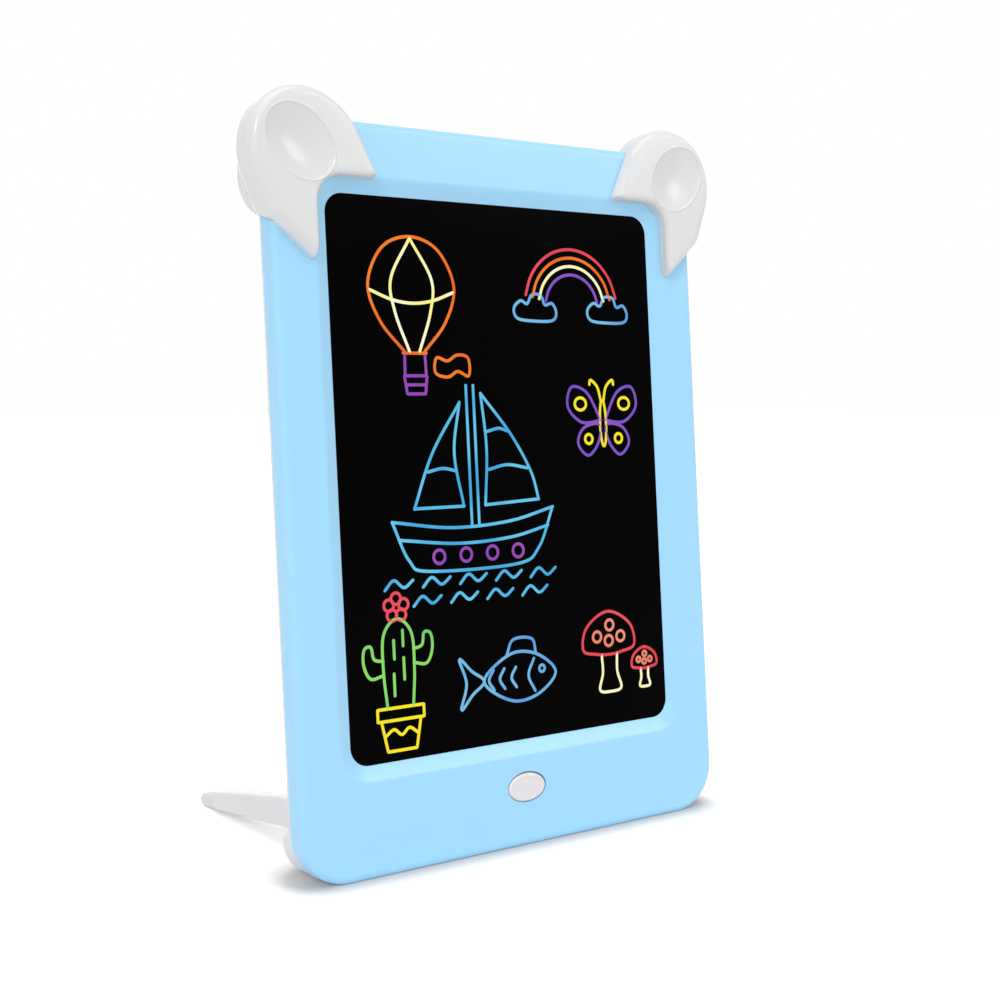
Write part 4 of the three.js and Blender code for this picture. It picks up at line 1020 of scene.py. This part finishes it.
BALLOON_AT = [(-36, 189)]
ENVELOPE = [
    free((-4, -19), (-13, -9), (-17, 3), (-11, 15), (0, 19), (11, 15), (17, 3), (13, -9), (4, -19)),
    sharp((-4.5, -19.5), (4.5, -19.5)),
]
GORES = [
    free((-2, -19), (-7, -6), (-8, 5), (0, 18.5)),
    free((2, -19), (7, -6), (8, 5), (0, 18.5)),
    free((-16.5, 1), (-8, -2), (0, -3), (8, -2), (16.5, 1)),
]
BASKET = [
    sharp((-4.5, -27), (4.5, -27), (3.6, -33), (-3.6, -33), closed=True),
    sharp((-4, -20), (-4.2, -26.5)),
    sharp((4, -20), (4.2, -26.5)),
    sharp((-3.8, -30), (3.8, -30)),
]

RAINBOW_AT, CLOUDS_AT = [(32, 186)], [(32 - 16.5, 186), (32 + 16.5, 186)]
BANDS = [oval((0, 0), radius, start=12, end=168, steps=9) for radius in (12, 15, 18, 21)]
CLOUD = free(
    (-8, -4), (-9.5, -0.5), (-6.5, 2.2), (-3.6, 1.2), (-1.4, 4.4), (2.6, 4.2), (4.2, 1), (7.4, 1.6),
    (9.2, -1.6), (7.4, -4.4), (0, -4.8), closed=True,
)

BOAT_AT = [(-14, 112)]
BOAT = [
    free((-34, 2), (-28, -11), (-20, -15), (16, -15), (26, -10), (33, 4)),
    free((-34, 2), (-10, -1), (14, 0), (33, 4)),
    free((-31.5, -4), (-8, -6.4), (14, -5.6), (30.5, -2.4)),
    sharp((-2, -0.5), (-2, 47)),
    sharp((1, -0.5), (1, 47)),
    free((4, 44), (16, 30), (24, 17), (27, 7)),
    free((4, 44), (5.5, 25), (4, 6)),
    sharp((4, 6), (27, 7)),
    free((-5, 41), (-8, 24), (-5, 6)),
    free((-5, 41), (-17, 24), (-25, 6)),
    sharp((-5, 6), (-25, 6)),
    free((6, 31), (11, 32), (14.6, 31)),
    free((6, 18), (14, 19.4), (22.6, 18)),
    free((-7.6, 18), (-13, 19), (-19, 18)),
]
FLAG = free(
    (-0.5, 50), (-5, 51.5), (-9, 49.6), (-14, 51), (-13.4, 56), (-9, 55), (-5, 57), (-0.5, 56), closed=True,
)
PORTHOLES = [oval((shift, -10.4), 2.3) for shift in (-16, -5, 6, 17)]
WAVE = free((0, 0), (3.6, 3), (7.4, 0.4), (11, 2.6))
WAVES_AT = [(x, 92) for x in range(-52, 9, 15)] + [(x, 86) for x in range(-41, 5, 15)]

BUTTERFLY_AT = [(44, 146)]
WINGS, SPOTS = [], []
for side in (-1, 1):
    WINGS += [
        free((1.6, 1), (7, 10), (14, 12), (16, 5), (10, -0.5), (1.6, 0), closed=True, side=side),
        free((1.6, -1.5), (9, -2.5), (12, -8), (7.5, -12.5), (2.6, -8), closed=True, side=side),
    ]
    SPOTS += [
        oval((side * 10.2, 6), 2.6, 2.2),
        oval((side * 7, -6.6), 1.7),
        free((0.6, 7), (2, 12), (5, 14.6), (5.6, 13), side=side),
    ]
SPOTS.append(oval((0, -1), 1.4, 8.4, steps=14))

BIG_AT, SMALL_AT = [(42, 64)], [(58.5, 56)]


def mushroom(size):
    """Its cap, its stalk and the dots on the cap."""
    cap = free(
        (-12, 0), (-10, 8), (0, 13), (10, 8), (12, 0), (6, -2), (0, -2.6), (-6, -2), closed=True, size=size,
    )
    stalk = free((-3.6, -2.6), (-3.4, -9), (-5, -15), (0, -16), (5, -15), (3.4, -9), (3.6, -2.6), size=size)
    dots = [
        oval((across * size, up * size), 1.9 * size)
        for across, up in ((-5.4, 4.2), (0.6, 8), (5.6, 3.6), (0, 2.4))
    ]
    return [cap], [stalk], dots


BIG_CAP, BIG_STALK, BIG_DOTS = mushroom(1.0)
SMALL_CAP, SMALL_STALK, SMALL_DOTS = mushroom(0.5)

FISH_AT = [(0, 58)]
FISH = [
    free((17, 0), (10, 6.6), (0, 8.6), (-9, 5), (-14, 0), (-9, -5), (0, -8.4), (10, -6.4), closed=True),
    free((-14, 0), (-19, 4), (-24, 8.6), (-21.4, 0), (-24, -8.6), (-19, -4), closed=True),
    free((-4, 8), (-1, 13), (7, 12.6), (8.6, 7.4)),
    free((7.6, 5.6), (5, 0), (7.6, -5.6)),
    *(free((x, 3.4), (x - 2, 0), (x, -3.4)) for x in (-0.4, -5.4, -10)),
]
EYE = oval((11, 1.8), 1.2, steps=8)

CACTUS_AT, FLOWER_AT = [(-48, 61.5)], [(-48, 61.5 + 24.6)]
CACTUS = [
    free((-5, -8), (-6, 4), (-5.4, 16), (0, 21), (5.4, 16), (6, 4), (5, -8)),
    free((-6, 3), (-11, 2.4), (-13.4, 7), (-13, 12), (-10.4, 12.6), (-9.4, 8.6), (-6, 7.6)),
    free((6, 6), (11, 5.4), (13.4, 10), (13, 15), (10.4, 15.6), (9.4, 11.6), (6, 10.6)),
    sharp((-2, -4), (-2, 3)),
    sharp((2, 1), (2, 8)),
    sharp((-1.6, 8), (-1.6, 14)),
    sharp((2, 12), (2, 17)),
]
POT = [
    sharp((-9, -8), (9, -8), (9, -12), (-9, -12), closed=True),
    sharp((-7.6, -12.4), (-5.6, -22), (5.6, -22), (7.6, -12.4)),
    free((-6.4, -17), (-3, -15), (0, -17), (3, -15), (6.2, -17)),
]
PETALS = [
    oval((3 * math.cos(angle), 3 * math.sin(angle)), 1.9, steps=8)
    for angle in np.radians((90, 162, 234, 306, 18))
]

draw("ink_sky", ((104, 200, 236), (72, 170, 222)), (BOAT_AT, BOAT), (WAVES_AT, [WAVE]))
draw("ink_blue", ((96, 160, 224), (120, 190, 232)), (FISH_AT, FISH), (CLOUDS_AT, [CLOUD]), (FISH_AT, [EYE]))
draw("ink_pale", ((252, 246, 150), (255, 252, 214)), (BALLOON_AT, GORES), (BIG_AT, BIG_STALK),
     (SMALL_AT, SMALL_STALK), (RAINBOW_AT, BANDS[1:2]))
draw("ink_yellow", ((252, 240, 40), (246, 226, 52)), (BUTTERFLY_AT, SPOTS), (CACTUS_AT, POT))
draw("ink_orange", ((246, 128, 44), (240, 110, 40)), (BALLOON_AT, ENVELOPE), (BOAT_AT, [FLAG]),
     (RAINBOW_AT, BANDS[2:3]))
draw("ink_purple", ((118, 84, 200), (138, 88, 196)), (BUTTERFLY_AT, WINGS), (RAINBOW_AT, BANDS[:1]))
draw("ink_violet", ((166, 84, 186), (146, 74, 180)), (BOAT_AT, PORTHOLES), (BALLOON_AT, BASKET))
draw("ink_green", ((140, 220, 104), (112, 204, 110)), (CACTUS_AT, CACTUS))
draw("ink_red", ((236, 84, 96), (228, 72, 84)), (BIG_AT, BIG_CAP), (SMALL_AT, SMALL_CAP),
     (FLOWER_AT, PETALS), (RAINBOW_AT, BANDS[3:]))
draw("ink_rose", ((240, 150, 120), (236, 132, 110)), (BIG_AT, BIG_DOTS), (SMALL_AT, SMALL_DOTS))


# Camera, as in the photograph
CAMERA_PLACE = (-0.32193, -0.43233, 0.16033)
CAMERA_AZIMUTH, CAMERA_ELEVATION = math.radians(-36.491), math.radians(4.442)
CAMERA_LENS, SENSOR = 56.22, 36.0


def aimed(data, back):
    """A camera or a lamp that looks against the direction that is given."""
    made = bpy.data.objects.new(data.name, data)
    made.rotation_mode = "QUATERNION"
    made.rotation_quaternion = (-Vector(back)).to_track_quat("-Z", "Y")
    bpy.context.scene.collection.objects.link(made)
    return made


def make_camera():
    data = bpy.data.cameras.new("camera")
    data.lens, data.sensor_width = CAMERA_LENS, SENSOR
    a, e = CAMERA_AZIMUTH, CAMERA_ELEVATION
    camera = aimed(data, (math.sin(a) * math.cos(e), -math.cos(a) * math.cos(e), math.sin(e)))
    camera.location = CAMERA_PLACE
    bpy.context.scene.camera = camera


# Floor, world and lamps
FLOOR_SIZE, FLOOR_ROUGHNESS = 12.0, 0.9
# The floor's white, the glow that seen rays take as extra white, and the power by which the painted contact
# shade dims that glow
FLOOR_WHITE, FLOOR_LIFT, SHADOW_PAINT_POWER = 0.9, 0.28, 2.0
# Painted contact shade before the board: the reach of its occlusion test, the depths behind the front over
# which it fades out, and the least share that it keeps
SHADOW_PAINT_REACH, SHADOW_PAINT_FRONT, SHADOW_PAINT_END, SHADOW_PAINT_LEAST = 0.012, 0.0, 0.02, 0.6
WORLD_LIGHT = 0.45
# Each lamp's direction, its spread in degrees and its share
LAMPS = {
    "key": ((-0.64, -0.52, 0.56), 18, 0.25),
    "left": ((-0.95, -0.3, 0.05), 30, 0.1),
    "overhead": ((-0.05, -0.15, 1.0), 50, 0.355),
    "glint": ((0.6, -0.7, 0.44), 24, 0.13),
    "back": ((0.25, 0.95, 0.15), 30, 0.14),
}


def worked(tree, operation, first, second):
    """The result of a sum on two values: each is a number or another node's result."""
    node = tree.nodes.new("ShaderNodeMath")
    node.operation = operation
    feed(tree, node, {0: first, 1: second})
    return node.outputs[0]


def seen_share(tree):
    """1 for rays that show in the picture, straight or through a mirror or a clear piece, else 0."""
    rays = tree.nodes.new("ShaderNodeLightPath")
    seen = rays.outputs["Is Camera Ray"]
    for kind in ("Is Glossy Ray", "Is Transmission Ray"):
        seen = worked(tree, "MAXIMUM", seen, rays.outputs[kind])
    return seen


def painted_shade_share(finish, seen):
    """How much of its white the floor keeps: a painted contact shade lowers it close before the board, 1
    elsewhere and for unseen rays.
    """
    tree = finish.tree
    # Painted shade: an ambient-occlusion test darkens the floor near the board's foot
    contact = result(tree, "ShaderNodeAmbientOcclusion", {"Distance": SHADOW_PAINT_REACH}, "AO")
    along = result(tree, "ShaderNodeSeparateXYZ", {0: finish.place}, "Y")
    near = worked(tree, "MAXIMUM", contact, finish.spread(along, 0, 1, SHADOW_PAINT_FRONT, SHADOW_PAINT_END))
    unseen = worked(tree, "SUBTRACT", 1.0, seen)
    return worked(tree, "MAXIMUM", worked(tree, "MAXIMUM", near, SHADOW_PAINT_LEAST), unseen)


def make_floor():
    corners = [(x, y, 0) for x, y in square(FLOOR_SIZE / 2)]
    floor = make_object("floor", corners, [(0, 1, 2, 3)], Matrix.Identity(4))
    finish = Finish("floor")
    tree = finish.tree
    seen = seen_share(tree)
    # The painted contact shade darkens the floor's colour and its glow for seen rays
    share = painted_shade_share(finish, seen)
    finish.give({
        "Base Color": worked(tree, "MULTIPLY", share, FLOOR_WHITE),
        "Roughness": FLOOR_ROUGHNESS, "Specular IOR Level": 0.0,
    })
    lift = worked(tree, "MULTIPLY", worked(tree, "POWER", share, SHADOW_PAINT_POWER), FLOOR_LIFT)
    glow = result(tree, "ShaderNodeEmission", {"Strength": worked(tree, "MULTIPLY", lift, seen)})
    both = result(tree, "ShaderNodeAddShader", {0: finish.shader.outputs[0], 1: glow})
    feed(tree, tree.nodes["Material Output"], {"Surface": both})
    floor.data.materials.append(finish.material)


def make_world():
    """White to the eye, and a weaker white light on everything else."""
    world = bpy.data.worlds.new("world")
    world.use_nodes = True
    tree = world.node_tree
    light = tree.nodes["Background"]
    feed(tree, light, {"Strength": WORLD_LIGHT, "Color": WHITE})
    white = result(tree, "ShaderNodeBackground", {"Strength": 1.0, "Color": WHITE})
    mixed = result(tree, "ShaderNodeMixShader", {"Fac": seen_share(tree), 1: light.outputs[0], 2: white})
    feed(tree, tree.nodes["World Output"], {"Surface": mixed})
    bpy.context.scene.world = world


def make_lamp(name, direction, spread, share):
    """A broad far lamp. The share is how bright it alone makes a white surface that faces it."""
    data = bpy.data.lights.new(name, "SUN")
    data.angle = math.radians(spread)
    data.energy = share * math.pi
    aimed(data, direction)


make_camera()
make_floor()
make_world()
for name, lamp in LAMPS.items():
    make_lamp(name, *lamp)
bpy.context.scene.view_settings.view_transform = "Standard"
